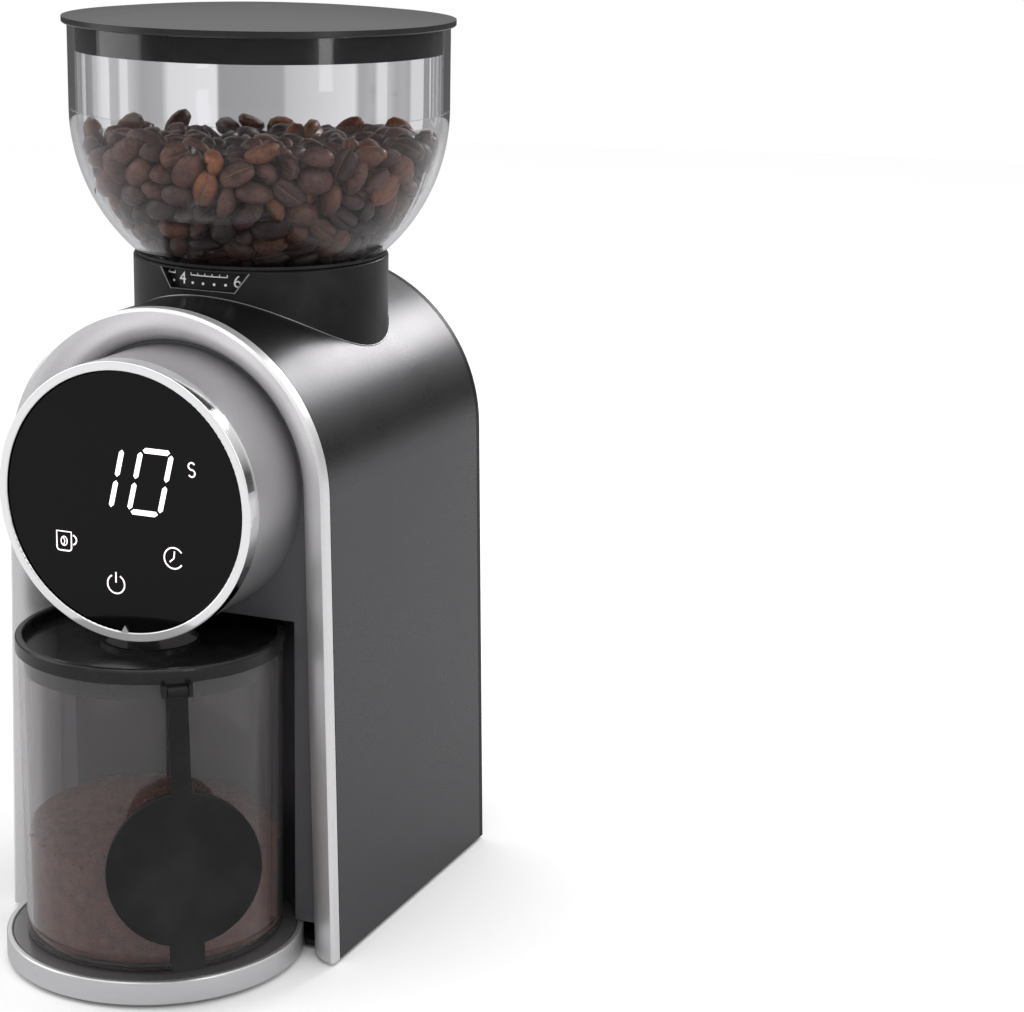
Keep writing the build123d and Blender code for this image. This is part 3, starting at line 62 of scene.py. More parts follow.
# Places taken from the frame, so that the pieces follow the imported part
GLASS_LOW, GLASS_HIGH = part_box("display_glass")
DIAL = (GLASS_LOW + GLASS_HIGH) / 2
GLASS_FACE = GLASS_LOW.y
RING_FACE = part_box("control_ring")[0].y
BOWL_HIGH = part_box("hopper_bowl")[1]
BOWL_RADIUS = BOWL_HIGH.x
BOWL_MIDDLE = BOWL_HIGH.z - 32.5 * MM  # height of the centre of the bowl's round lower part
COLLAR_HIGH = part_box("hopper_collar")[1]
COLLAR_RADIUS = COLLAR_HIGH.x
ARCH_RADIUS = 68.0 * MM
ARCH_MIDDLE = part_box("outer_shell")[1].z - ARCH_RADIUS
BAND_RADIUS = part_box("scale_band")[1].x
JAR_LOW, JAR_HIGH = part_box("canister_jar")
JAR = (JAR_LOW + JAR_HIGH) / 2
JAR_RADIUS = (JAR_HIGH.x - JAR_LOW.x) / 2


# Sizes of the scale window in the collar
WINDOW_HEIGHT = 8.6 * MM
WINDOW_HEAD = 0.9 * MM  # bar left over the window
WINDOW_TOP_ANGLE = 22.3
WINDOW_FOOT_ANGLE = 15.8


# Settings that a user may change


class StageSettings(bpy.types.PropertyGroup):
    floor_colour: FloatVectorProperty(
        name="Floor colour", description="Colour of the floor", subtype="COLOR", size=3,
        min=0, max=1, default=(0.965, 0.965, 0.97))
    daylight: FloatProperty(
        name="Room light", description="Brightness of the light from all round", min=0, default=1.0)
    floor_size: FloatProperty(
        name="Floor size", description="Radius of the floor", unit="LENGTH", min=1, default=2.6)
    lens: FloatProperty(
        name="Lens", description="Focal length of the camera", unit="CAMERA", min=10, default=92.2)


class FinishSettings(bpy.types.PropertyGroup):
    shell: FloatVectorProperty(
        name="Shell", description="Graphite of the arched shell", subtype="COLOR", size=3,
        min=0, max=1, default=(0.112, 0.109, 0.114))
    bezel: FloatVectorProperty(
        name="Bezel", description="Satin silver of the front bezel", subtype="COLOR", size=3,
        min=0, max=1, default=(0.90, 0.89, 0.90))
    head: FloatVectorProperty(
        name="Head", description="Satin silver of the display head", subtype="COLOR", size=3,
        min=0, max=1, default=(0.58, 0.57, 0.58))
    moulding: FloatVectorProperty(
        name="Mouldings", description="Black of the moulded pieces", subtype="COLOR", size=3,
        min=0, max=1, default=(0.0075, 0.0073, 0.0078))
    bowl_tint: FloatVectorProperty(
        name="Bowl tint", description="Tint of the hopper's clear bowl", subtype="COLOR", size=3,
        min=0, max=1, default=(0.90, 0.90, 0.915))
    jar_tint: FloatVectorProperty(
        name="Jar tint", description="Smoke tint of the canister's jar", subtype="COLOR", size=3,
        min=0, max=1, default=(0.71, 0.69, 0.70))


class ContentSettings(bpy.types.PropertyGroup):
    beans: IntProperty(name="Beans", description="How many beans the hopper holds", min=10, default=670)
    bean_length: FloatProperty(
        name="Bean length", description="Length of a bean", unit="LENGTH", min=0.004, default=0.0143)
    bean_seed: IntProperty(name="Bean seed", description="Seed of the beans' places", default=11)
    grounds_level: FloatProperty(
        name="Grounds level", description="Height of the ground coffee above the floor of the jar",
        unit="LENGTH", min=0.005, default=0.0385)
    granules: IntProperty(
        name="Granules", description="Loose granules per square metre on the ground coffee",
        min=0, default=420000)
    grounds_seed: IntProperty(name="Grounds seed", description="Seed of the ground coffee", default=5)


class MarkSettings(bpy.types.PropertyGroup):
    number: StringProperty(name="Number", description="Seconds shown on the display", default="10")
    digit_height: FloatProperty(
        name="Digit height", description="Height of the display's digits", unit="LENGTH",
        min=0.005, default=0.0238)
    glow: FloatVectorProperty(
        name="Glow", description="Colour of the lit marks", subtype="COLOR", size=3,
        min=0, max=1, default=(1.0, 0.90, 0.93))
    glow_strength: FloatProperty(
        name="Glow strength", description="Brightness of the lit marks", min=0, default=1.1)
    line: FloatProperty(
        name="Line width", description="Width of the lines of the touch marks", unit="LENGTH",
        min=0.0001, default=0.00058)


# Node helpers


def node(tree, kind, inputs=None, **attributes):
    """Adds a node, sets its attributes, and sets or links its inputs."""
    made = tree.nodes.new(kind)
    for name, value in attributes.items():
        setattr(made, name, value)
    for key, value in (inputs or {}).items():
        if isinstance(value, bpy.types.NodeSocket):
            tree.links.new(value, made.inputs[key])
        else:
            made.inputs[key].default_value = value
    return made


def maths(tree, operation, *values):
    """One maths node's result."""
    made = node(tree, "ShaderNodeMath", dict(enumerate(values)), operation=operation)
    return made.outputs[0]


def blend_colours(tree, factor, first, second, how="MIX"):
    """Mixed colour of two colours."""
    made = node(tree, "ShaderNodeMix", data_type="RGBA", blend_type=how)
    for key, value in zip((0, 6, 7), (factor, first, second)):
        if isinstance(value, bpy.types.NodeSocket):
            tree.links.new(value, made.inputs[key])
        else:
            made.inputs[key].default_value = value
    return made.outputs[2]


def ramp(tree, factor, stops):
    """Colour ramp with stops given as (position, grey or colour)."""
    made = node(tree, "ShaderNodeValToRGB", {0: factor})
    elements = made.color_ramp.elements
    while len(elements) < len(stops):
        elements.new(0.5)
    for element, (position, colour) in zip(elements, stops):
        element.position = position
        element.color = (*colour, 1) if isinstance(colour, tuple) else (colour, colour, colour, 1)
    return made.outputs[0]


def span(tree, value, low, high, to_low, to_high):
    """Value moved from one range to another and held inside it."""
    made = node(tree, "ShaderNodeMapRange", {0: value, 1: low, 2: high, 3: to_low, 4: to_high})
    return made.outputs[0]


def part_of(tree, vector, axis):
    """One of a vector's three parts: 0, 1 or 2."""
    return node(tree, "ShaderNodeSeparateXYZ", {0: vector}).outputs[axis]


def noise(tree, vector, scale, detail=2.0, rough=0.5):
    """Fractal noise from 0 to 1."""
    inputs = {"Vector": vector, "Scale": scale, "Detail": detail, "Roughness": rough}
    return node(tree, "ShaderNodeTexNoise", inputs).outputs["Fac"]


def rgba(colour):
    return (*tuple(colour)[:3], 1)


def new_group(name, inputs, outputs):
    """Empty shader group with named sockets, with its input and output nodes."""
    group = bpy.data.node_groups.new(name, "ShaderNodeTree")
    for label, kind, value in inputs:
        socket = group.interface.new_socket(label, in_out="INPUT", socket_type="NodeSocket" + kind)
        if value is not None:
            socket.default_value = value
    for label, kind in outputs:
        group.interface.new_socket(label, in_out="OUTPUT", socket_type="NodeSocket" + kind)
    return group, group.nodes.new("NodeGroupInput"), group.nodes.new("NodeGroupOutput")


# Shader groups


def moulded_grain():
    """Fine spark-eroded texture of a moulded plastic piece, with faint handling smudges."""
    name = "Moulded grain"
    if name in bpy.data.node_groups:
        return bpy.data.node_groups[name]
    group, given, out = new_group(
        name,
        [("Vector", "Vector", None), ("Colour", "Color", (0.02, 0.02, 0.02, 1)), ("Grain", "Float", 1800.0),
         ("Roughness", "Float", 0.4), ("Smudge", "Float", 0.5)],
        [("Colour", "Color"), ("Roughness", "Float"), ("Height", "Float")])
    vector = given.outputs["Vector"]
    grain = noise(group, vector, given.outputs["Grain"], 3.0, 0.6)
    smudge = noise(group, vector, 38.0, 4.0, 0.62)
    smear = maths(group, "MULTIPLY", span(group, smudge, 0.42, 0.72, 0.0, 1.0), given.outputs["Smudge"])
    shade = span(group, grain, 0.3, 0.7, 0.86, 1.16)
    tinted = node(group, "ShaderNodeVectorMath", {0: given.outputs["Colour"]}, operation="SCALE")
    group.links.new(shade, tinted.inputs["Scale"])
    haze = maths(group, "MULTIPLY", smear, 0.05)
    lighter = blend_colours(group, haze, tinted.outputs[0], (0.5, 0.5, 0.5, 1))
    rough = maths(group, "ADD", given.outputs["Roughness"], maths(group, "MULTIPLY", smear, 0.12))
    rough = maths(group, "ADD", rough, span(group, grain, 0.3, 0.7, -0.03, 0.03))
    group.links.new(lighter, out.inputs["Colour"])
    group.links.new(rough, out.inputs["Roughness"])
    group.links.new(grain, out.inputs["Height"])
    return group


def satin_flake():
    """Fine metallic flake of a satin painted or blasted metal, with soft cloudy variation."""
    name = "Satin flake"
    if name in bpy.data.node_groups:
        return bpy.data.node_groups[name]
    group, given, out = new_group(
        name,
        [("Vector", "Vector", None), ("Colour", "Color", (0.5, 0.5, 0.5, 1)), ("Flake", "Float", 3200.0),
         ("Sparkle", "Float", 0.1), ("Roughness", "Float", 0.3)],
        [("Colour", "Color"), ("Roughness", "Float"), ("Height", "Float")])
    vector = given.outputs["Vector"]
    cells = node(group, "ShaderNodeTexVoronoi", {"Vector": vector, "Scale": given.outputs["Flake"]})
    flake = node(group, "ShaderNodeSeparateColor", {0: cells.outputs["Color"]}).outputs[0]
    cloud = noise(group, vector, 14.0, 3.0, 0.55)
    gain = maths(group, "MULTIPLY", maths(group, "SUBTRACT", flake, 0.5), given.outputs["Sparkle"])
    gain = maths(group, "ADD", maths(group, "ADD", gain, 1.0), span(group, cloud, 0.3, 0.7, -0.02, 0.02))
    tinted = node(group, "ShaderNodeVectorMath", {0: given.outputs["Colour"]}, operation="SCALE")
    group.links.new(gain, tinted.inputs["Scale"])
    rough = maths(group, "ADD", given.outputs["Roughness"], span(group, cloud, 0.3, 0.7, -0.025, 0.035))
    rough = maths(group, "ADD", rough, maths(group, "MULTIPLY", maths(group, "SUBTRACT", flake, 0.5), 0.06))
    group.links.new(tinted.outputs[0], out.inputs["Colour"])
    group.links.new(rough, out.inputs["Roughness"])
    group.links.new(flake, out.inputs["Height"])
    return group


def turned_lines():
    """Concentric tool lines round the Z axis of the given coordinates."""
    name = "Turned lines"
    if name in bpy.data.node_groups:
        return bpy.data.node_groups[name]
    group, given, out = new_group(
        name,
        [("Vector", "Vector", None), ("Colour", "Color", (0.6, 0.6, 0.6, 1)), ("Lines", "Float", 3000.0),
         ("Contrast", "Float", 0.1), ("Roughness", "Float", 0.25)],
        [("Colour", "Color"), ("Roughness", "Float"), ("Height", "Float")])
    parts = node(group, "ShaderNodeSeparateXYZ", {0: given.outputs["Vector"]})
    x, y, z = (parts.outputs[i] for i in range(3))
    squares = maths(group, "ADD", maths(group, "MULTIPLY", x, x), maths(group, "MULTIPLY", y, y))
    radius = maths(group, "SQRT", squares)
    across = node(group, "ShaderNodeCombineXYZ", {0: radius, 1: z, 2: maths(group, "MULTIPLY", x, 0.02)})
    lines = noise(group, across.outputs[0], given.outputs["Lines"], 2.0, 0.7)
    cloud = noise(group, given.outputs["Vector"], 22.0, 3.0, 0.5)
    shift = maths(group, "MULTIPLY", maths(group, "SUBTRACT", lines, 0.5), given.outputs["Contrast"])
    tinted = node(group, "ShaderNodeVectorMath", {0: given.outputs["Colour"]}, operation="SCALE")
    group.links.new(maths(group, "ADD", shift, 1.0), tinted.inputs["Scale"])
    rough = maths(group, "ADD", given.outputs["Roughness"], maths(group, "MULTIPLY", shift, 0.5))
    rough = maths(group, "ADD", rough, span(group, cloud, 0.3, 0.7, -0.02, 0.03))
    group.links.new(tinted.outputs[0], out.inputs["Colour"])
    group.links.new(rough, out.inputs["Roughness"])
    group.links.new(lines, out.inputs["Height"])
    return group


def roast_mottle():
    """Oily mottling of roasted coffee, from fine specks to broad patches."""
    name = "Roast mottle"
    if name in bpy.data.node_groups:
        return bpy.data.node_groups[name]
    group, given, out = new_group(
        name,
        [("Vector", "Vector", None), ("Dark", "Color", (0.02, 0.01, 0.008, 1)),
         ("Light", "Color", (0.1, 0.05, 0.03, 1)), ("Scale", "Float", 900.0), ("Bias", "Float", 0.0)],
        [("Colour", "Color"), ("Roughness", "Float"), ("Height", "Float")])
    vector = given.outputs["Vector"]
    fine = noise(group, vector, given.outputs["Scale"], 4.0, 0.65)
    broad = noise(group, vector, maths(group, "MULTIPLY", given.outputs["Scale"], 0.16), 2.0, 0.5)
    mask = maths(group, "ADD", maths(group, "MULTIPLY", fine, 0.6), maths(group, "MULTIPLY", broad, 0.4))
    mask = maths(group, "ADD", span(group, mask, 0.36, 0.66, 0.0, 1.0), given.outputs["Bias"])
    mask = node(group, "ShaderNodeClamp", {0: mask}).outputs[0]
    colour = blend_colours(group, mask, given.outputs["Dark"], given.outputs["Light"])
    group.links.new(colour, out.inputs["Colour"])
    group.links.new(span(group, fine, 0.3, 0.7, 0.28, 0.55), out.inputs["Roughness"])
    group.links.new(fine, out.inputs["Height"])
    return group


# Material helpers


def surface(name, **constants):
    """New material: its tree, its Principled shader with constants set, and its object coordinates."""
    material = bpy.data.materials.new(name)
    material.use_nodes = True
    tree = material.node_tree
    shader = tree.nodes["Principled BSDF"]
    for label, value in constants.items():
        shader.inputs[label.replace("_", " ")].default_value = value
    where = node(tree, "ShaderNodeTexCoord").outputs["Object"]
    return material, tree, shader, where


def put_group(tree, shader, group, inputs, bump, reach):
    """Places a shader group in a material and links its colour, roughness and bump."""
    placed = node(tree, "ShaderNodeGroup", node_tree=group)
    for label, value in inputs.items():
        if isinstance(value, bpy.types.NodeSocket):
            tree.links.new(value, placed.inputs[label])
        else:
            placed.inputs[label].default_value = value
    tree.links.new(placed.outputs["Colour"], shader.inputs["Base Color"])
    tree.links.new(placed.outputs["Roughness"], shader.inputs["Roughness"])
    if bump:
        relief = node(tree, "ShaderNodeBump", {
            "Strength": bump, "Distance": reach, "Height": placed.outputs["Height"]})
        tree.links.new(relief.outputs[0], shader.inputs["Normal"])
    return placed


def moulded(name, colour, roughness=0.4, grain=1800.0, smudge=0.5, bump=0.25, **constants):
    """Moulded plastic or rubber."""
    material, tree, shader, where = surface(name, **{"Specular_IOR_Level": 0.20, **constants})
    inputs = {"Vector": where, "Colour": rgba(colour), "Grain": grain,
              "Roughness": roughness, "Smudge": smudge}
    put_group(tree, shader, moulded_grain(), inputs, bump, 0.00006)
    return material


def satin(name, colour, roughness=0.3, flake=3200.0, sparkle=0.1, bump=0.05, **constants):
    """Satin metal finish with a fine flake."""
    material, tree, shader, where = surface(name, **{"Metallic": 1.0, **constants})
    inputs = {"Vector": where, "Colour": rgba(colour), "Flake": flake,
              "Sparkle": sparkle, "Roughness": roughness}
    put_group(tree, shader, satin_flake(), inputs, bump, 0.00004)
    return material


def turned_metal(name, colour, centre=(0, 0, 0), tilt=(0, 0, 0), roughness=0.25, lines=3000.0, contrast=0.1,
                 bump=0.08, **constants):
    """Metal with concentric tool lines round an axis through a centre."""
    material, tree, shader, where = surface(name, **{"Metallic": 1.0, **constants})
    lie = {"Vector": where, "Location": centre, "Rotation": tilt}
    turned = node(tree, "ShaderNodeMapping", lie, vector_type="TEXTURE")
    inputs = {"Vector": turned.outputs[0], "Colour": rgba(colour), "Lines": lines, "Contrast": contrast,
              "Roughness": roughness}
    put_group(tree, shader, turned_lines(), inputs, bump, 0.00003)
    return material


def tinted_glass(name, tint, shadow_tint, clearness=1.0, ior=1.33):
    """Clear or smoked moulded plastic that lets lamps through, with faint wipe marks."""
    material, tree, shader, where = surface(
        name, Transmission_Weight=clearness, IOR=ior, Base_Color=rgba(tint))
    wipe = noise(tree, where, 26.0, 4.0, 0.6)
    tree.links.new(span(tree, wipe, 0.5, 0.8, 0.0, 0.03), shader.inputs["Roughness"])
    clear = node(tree, "ShaderNodeBsdfTransparent", {"Color": rgba(shadow_tint)})
    shadow_ray = node(tree, "ShaderNodeLightPath").outputs["Is Shadow Ray"]
    mixed = node(tree, "ShaderNodeMixShader", {0: shadow_ray, 1: shader.outputs[0], 2: clear.outputs[0]})
    tree.links.new(mixed.outputs[0], tree.nodes["Material Output"].inputs["Surface"])
    return material


def glowing(name, colour, strength):
    """Lit mark behind the display's glass."""
    material, tree, shader, where = surface(
        name, Base_Color=rgba(colour), Roughness=0.5, Emission_Strength=strength)
    speck = noise(tree, where, 900.0, 2.0, 0.5)
    dimmer = rgba([c * 0.82 for c in colour])
    shade = blend_colours(tree, span(tree, speck, 0.35, 0.65, 0.0, 0.25), rgba(colour), dimmer)
    tree.links.new(shade, shader.inputs["Emission Color"])
    return material


def paint(nodes, material):
    """Gives CAD nodes one finish."""
    for name in nodes:
        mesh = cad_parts[name].data
        mesh.materials.clear()
        mesh.materials.append(material)


# Mesh helpers


def new_piece(name, mesh, material, body):
    """Object from a mesh that is already in place, riding on a body."""
    piece = bpy.data.objects.new(name, mesh)
    bpy.context.scene.collection.objects.link(piece)
    if material is not None:
        mesh.materials.clear()
        mesh.materials.append(material)
    if body is not None:
        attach(piece, body)
    return piece


def mesh_of(name, vertices, faces, smooth=False):
    """Mesh from lists, with its normals outwards."""
    mesh = bpy.data.meshes.new(name)
    mesh.from_pydata([tuple(v) for v in vertices], [], faces)
    grid = bmesh.new()
    grid.from_mesh(mesh)
    bmesh.ops.recalc_face_normals(grid, faces=grid.faces)
    grid.to_mesh(mesh)
    grid.free()
    mesh.polygons.foreach_set("use_smooth", [smooth] * len(mesh.polygons))
    mesh.update()
    return mesh


def plates(outlines, place, thickness):
    """Vertices and faces of thin plates, each from a flat outline put in two places a thickness apart."""
    vertices, faces = [], []
    for points in outlines:
        start, count = len(vertices), len(points)
        vertices += [place(u, v, thickness) for u, v in points] + [place(u, v, 0.0) for u, v in points]
        faces.append([start + i for i in range(count)])
        faces.append([start + count + i for i in reversed(range(count))])
        for i in range(count):
            j = (i + 1) % count
            faces.append([start + j, start + i, start + count + i, start + count + j])
    return vertices, faces


def stroke(points, width, closed=False):
    """Quads of even width along a line of flat points."""
    count = len(points)
    sides = []
    for i, (u, v) in enumerate(points):
        before = points[(i - 1) % count] if closed or i else points[0]
        after = points[(i + 1) % count] if closed or i < count - 1 else points[-1]
        du, dv = after[0] - before[0], after[1] - before[1]
        length = sqrt(du * du + dv * dv) or 1.0
        nu, nv = -dv / length * width / 2, du / length * width / 2
        sides.append(((u + nu, v + nv), (u - nu, v - nv)))
    quads = []
    for i in range(count if closed else count - 1):
        j = (i + 1) % count
        quads.append([sides[i][0], sides[j][0], sides[j][1], sides[i][1]])
    return quads


def rectangle(left, right, low, high):
    """Corners of a flat rectangle."""
    return [(left, low), (right, low), (right, high), (left, high)]


def arc(u, v, radius, start, end, steps=24):
    """Points on an arc, with angles in degrees."""
    turn = [radians(start + (end - start) * i / steps) for i in range(steps + 1)]
    return [(u + radius * cos(a), v + radius * sin(a)) for a in turn]


# Stage


def softbox(name, place, target, width, height, radiance):
    """Rectangular lamp with an even face, aimed at a target."""
    lamp = bpy.data.lights.new(name, "AREA")
    lamp.shape = "RECTANGLE"
    lamp.size, lamp.size_y = width, height
    lamp.energy = radiance * pi * width * height
    box = bpy.data.objects.new(name, lamp)
    box.location = place
    box.rotation_euler = (Vector(target) - Vector(place)).to_track_quat("-Z", "Y").to_euler()
    box.visible_camera = False
    bpy.context.scene.collection.objects.link(box)
    return box


def room_light(strength):
    """Room that is white to the eye, darker in reflections, and screened where seen through clear pieces."""
    world = bpy.data.worlds.new("studio")
    bpy.context.scene.world = world
    world.use_nodes = True
    tree = world.node_tree
    tree.nodes.clear()
    where = node(tree, "ShaderNodeTexCoord").outputs["Generated"]
    parts = node(tree, "ShaderNodeSeparateXYZ", {0: where})
    mirrored = ramp(tree, span(tree, parts.outputs[2], -0.4, 1.0, 0.0, 1.0),
                    [(0.0, 0.25), (0.24, 0.10), (0.33, 0.07), (0.42, 0.40), (0.60, 0.85), (1.0, 1.0)])
    bearing = maths(tree, "ARCTAN2", parts.outputs[0], parts.outputs[1])
    screens_start, screens_repeat = radians(31.9), radians(8.3)
    stripe = maths(tree, "DIVIDE", maths(tree, "ADD", bearing, screens_start), screens_repeat)
    screens = ramp(tree, maths(tree, "FRACT", stripe), [
        (0.0, 0.62), (0.06, 0.45), (0.17, 0.52), (0.20, 0.90), (0.37, 0.97), (0.38, 0.40),
        (0.585, 0.46), (0.60, 0.66), (0.84, 0.92), (0.86, 0.50), (0.93, 0.50), (0.95, 0.85)])
    path = node(tree, "ShaderNodeLightPath")
    glossy = maths(tree, "MINIMUM", path.outputs["Glossy Depth"], 1.0)
    diffuse = maths(tree, "MINIMUM", path.outputs["Diffuse Depth"], 1.0)
    bounced = maths(tree, "MAXIMUM", glossy, diffuse)
    straight = maths(tree, "SUBTRACT", path.outputs["Is Transmission Ray"], bounced)
    straight = maths(tree, "MAXIMUM", straight, 0.0)
    colour = blend_colours(tree, glossy, (strength, strength, strength, 1), mirrored)
    colour = blend_colours(tree, straight, colour, screens)
    colour = blend_colours(tree, path.outputs["Is Camera Ray"], colour, (1, 1, 1, 1))
    back = node(tree, "ShaderNodeBackground", {"Color": colour, "Strength": 1.0})
    out = node(tree, "ShaderNodeOutputWorld")
    tree.links.new(back.outputs[0], out.inputs["Surface"])


class GRINDER_OT_stage(bpy.types.Operator):
    """Set up the camera, the pale floor and the soft lights"""

    bl_idname = "grinder.stage"
    bl_label = "Stage"

    def execute(self, context):
        settings = context.scene.grinder_stage
        camera = bpy.data.objects.new("camera", bpy.data.cameras.new("camera"))
        context.scene.collection.objects.link(camera)
        context.scene.camera = camera
        yaw, pitch, roll = radians(22.033), radians(-14.592), radians(1.022)
        ahead = Vector((-sin(yaw) * cos(pitch), cos(yaw) * cos(pitch), sin(pitch)))
        level = Vector((cos(yaw), sin(yaw), 0))
        upright = level.cross(ahead)
        right = cos(roll) * level + sin(roll) * upright
        up = cos(roll) * upright - sin(roll) * level
        turn = Matrix((right, up, -ahead)).transposed()
        place = (0.48499, -0.92647, 0.43006)
        camera.matrix_world = Matrix.Translation(place) @ turn.to_4x4()
        camera.data.sensor_width = 36
        camera.data.lens = settings.lens
        camera.data.clip_end = 60

        steps = 96
        radius = settings.floor_size
        turns = [2 * pi * i / steps for i in range(steps)]
        rim = [(radius * cos(turn), radius * sin(turn), 0) for turn in turns]
        floor_mesh = bpy.data.meshes.new("floor")
        floor_mesh.from_pydata(rim, [], [list(range(steps))])
        material, tree, shader, where = surface("floor", Roughness=0.75, Specular_IOR_Level=0.2)
        cloud = noise(tree, where, 1.5, 2.0, 0.5)
        tone = rgba(settings.floor_colour)
        shade = blend_colours(tree, span(tree, cloud, 0.3, 0.7, 0.0, 0.04), tone, (0.9, 0.9, 0.9, 1))
        path = node(tree, "ShaderNodeLightPath")
        dim = maths(tree, "MAXIMUM", path.outputs["Is Glossy Ray"], path.outputs["Is Transmission Ray"])
        shade = blend_colours(tree, dim, shade, (0.5, 0.5, 0.505, 1))
        tree.links.new(shade, shader.inputs["Base Color"])
        floor = new_piece("floor", floor_mesh, material, None)

        room_light(settings.daylight)
        softbox("back_box", (0.42, 1.48, 0.86), (0, 0, 0.2), 0.40, 0.5, 8.2)
        softbox("top_box", (0.1, -0.2, 2.1), (0, 0, 0.1), 1.4, 1.4, 1.3)
        softbox("left_box", (-1.5, -0.7, 0.75), (0, 0, 0.2), 1.2, 1.4, 1.2)
        softbox("right_box", (1.7, -0.75, 0.8), (0, 0, 0.2), 0.3, 1.4, 2.9)
        context.scene.view_settings.view_transform = "Standard"
        context.scene.view_settings.look = "None"
        return {"FINISHED"}


# Finishes of the CAD nodes


class GRINDER_OT_body_finish(bpy.types.Operator):
    """Finish the shell, the bezel, the covers and the feet"""

    bl_idname = "grinder.body_finish"
    bl_label = "Body finish"

    def execute(self, context):
        tones = context.scene.grinder_finish
        paint(["outer_shell"], satin("shell_graphite", tones.shell, 0.30, 2600.0, 0.30, 0.06))
        paint(["front_bezel"], satin("bezel_silver", tones.bezel, 0.34, 3400.0, 0.08, 0.03, Metallic=0.72))
        # Painted reflection: the front panel's black is lightened thirteen times to stand in for the grey
        # reflections and light seen on it in the canister bay.
        panel_painted_reflection_tone = [c * 13 for c in tones.moulding]
        paint(["front_panel"], moulded("panel_painted_reflection_grey", panel_painted_reflection_tone, 0.32, 1900.0, 0.3, 0.1))
        paint(["back_cover", "bottom_cover"],
              moulded("cover_black", tones.moulding, 0.38, 1500.0, 0.5, 0.2))
        paint(["hopper_collar"], moulded("collar_black", tones.moulding, 0.34, 2200.0, 0.4, 0.12))
        paint(["cord_gland", "rubber_feet"],
              moulded("gland_rubber", (0.018, 0.018, 0.019), 0.62, 1300.0, 0.8, 0.3))
        return {"FINISHED"}


class GRINDER_OT_head_finish(bpy.types.Operator):
    """Finish the display head, its control ring and its glass"""

    bl_idname = "grinder.head_finish"
    bl_label = "Head finish"

    def execute(self, context):
        tones = context.scene.grinder_finish
        paint(["head_housing"], satin("head_silver", tones.head, 0.32, 3400.0, 0.08, 0.03, Metallic=0.85))
        facing = (radians(90), 0, 0)
        chrome = turned_metal("ring_chrome", (0.95, 0.95, 0.96), DIAL, facing, 0.07, 2600.0, 0.06, 0.02)
        tree = chrome.node_tree
        where = node(tree, "ShaderNodeTexCoord").outputs["Object"]
        back = part_of(tree, where, 1)
        white_face = span(tree, back, RING_FACE + 0.3 * MM, RING_FACE + 0.6 * MM, 0.55, 1.0)
        tree.links.new(white_face, tree.nodes["Principled BSDF"].inputs["Metallic"])
        paint(["control_ring"], chrome)
        glass, tree, shader, where = surface(
            "display_glass", Base_Color=(0.0035, 0.0035, 0.004, 1), Specular_IOR_Level=0.2)
        print_marks = noise(tree, where, 55.0, 4.0, 0.6)
        tree.links.new(span(tree, print_marks, 0.45, 0.8, 0.05, 0.16), shader.inputs["Roughness"])
        paint(["display_glass"], glass)
        return {"FINISHED"}


class GRINDER_OT_base_finish(bpy.types.Operator):
    """Finish the round base"""

    bl_idname = "grinder.base_finish"
    bl_label = "Base finish"

    def execute(self, context):
        middle, upright = (JAR.x, JAR.y, 0), (0, 0, 0)
        paint(["base_trim_ring"],
              turned_metal("base_brushed", (0.76, 0.76, 0.77), middle, upright, 0.30, 2200.0, 0.12,
                           Metallic=0.8))
        paint(["base_top_plate"],
              turned_metal("base_graphite", (0.20, 0.195, 0.20), middle, upright, 0.20, 2000.0, 0.10,
                           Metallic=0.55))
        paint(["base_core"], moulded("base_black", context.scene.grinder_finish.moulding, 0.45))
        return {"FINISHED"}


class GRINDER_OT_canister_finish(bpy.types.Operator):
    """Finish the canister, its lid and its stopper"""

    bl_idname = "grinder.canister_finish"
    bl_label = "Canister finish"

    def execute(self, context):
        tones = context.scene.grinder_finish
        paint(["canister_jar"], tinted_glass("jar_smoke", tones.jar_tint, (0.62, 0.60, 0.61), 0.97, 1.45))
        paint(["canister_lid"],
              moulded("lid_black", tones.moulding, 0.24, 2400.0, 0.4, 0.08, Coat_Weight=0.3))
        paint(["stopper"], moulded("stopper_rubber", (0.009, 0.0088, 0.0095), 0.45, 1700.0, 0.3, 0.15))
        return {"FINISHED"}


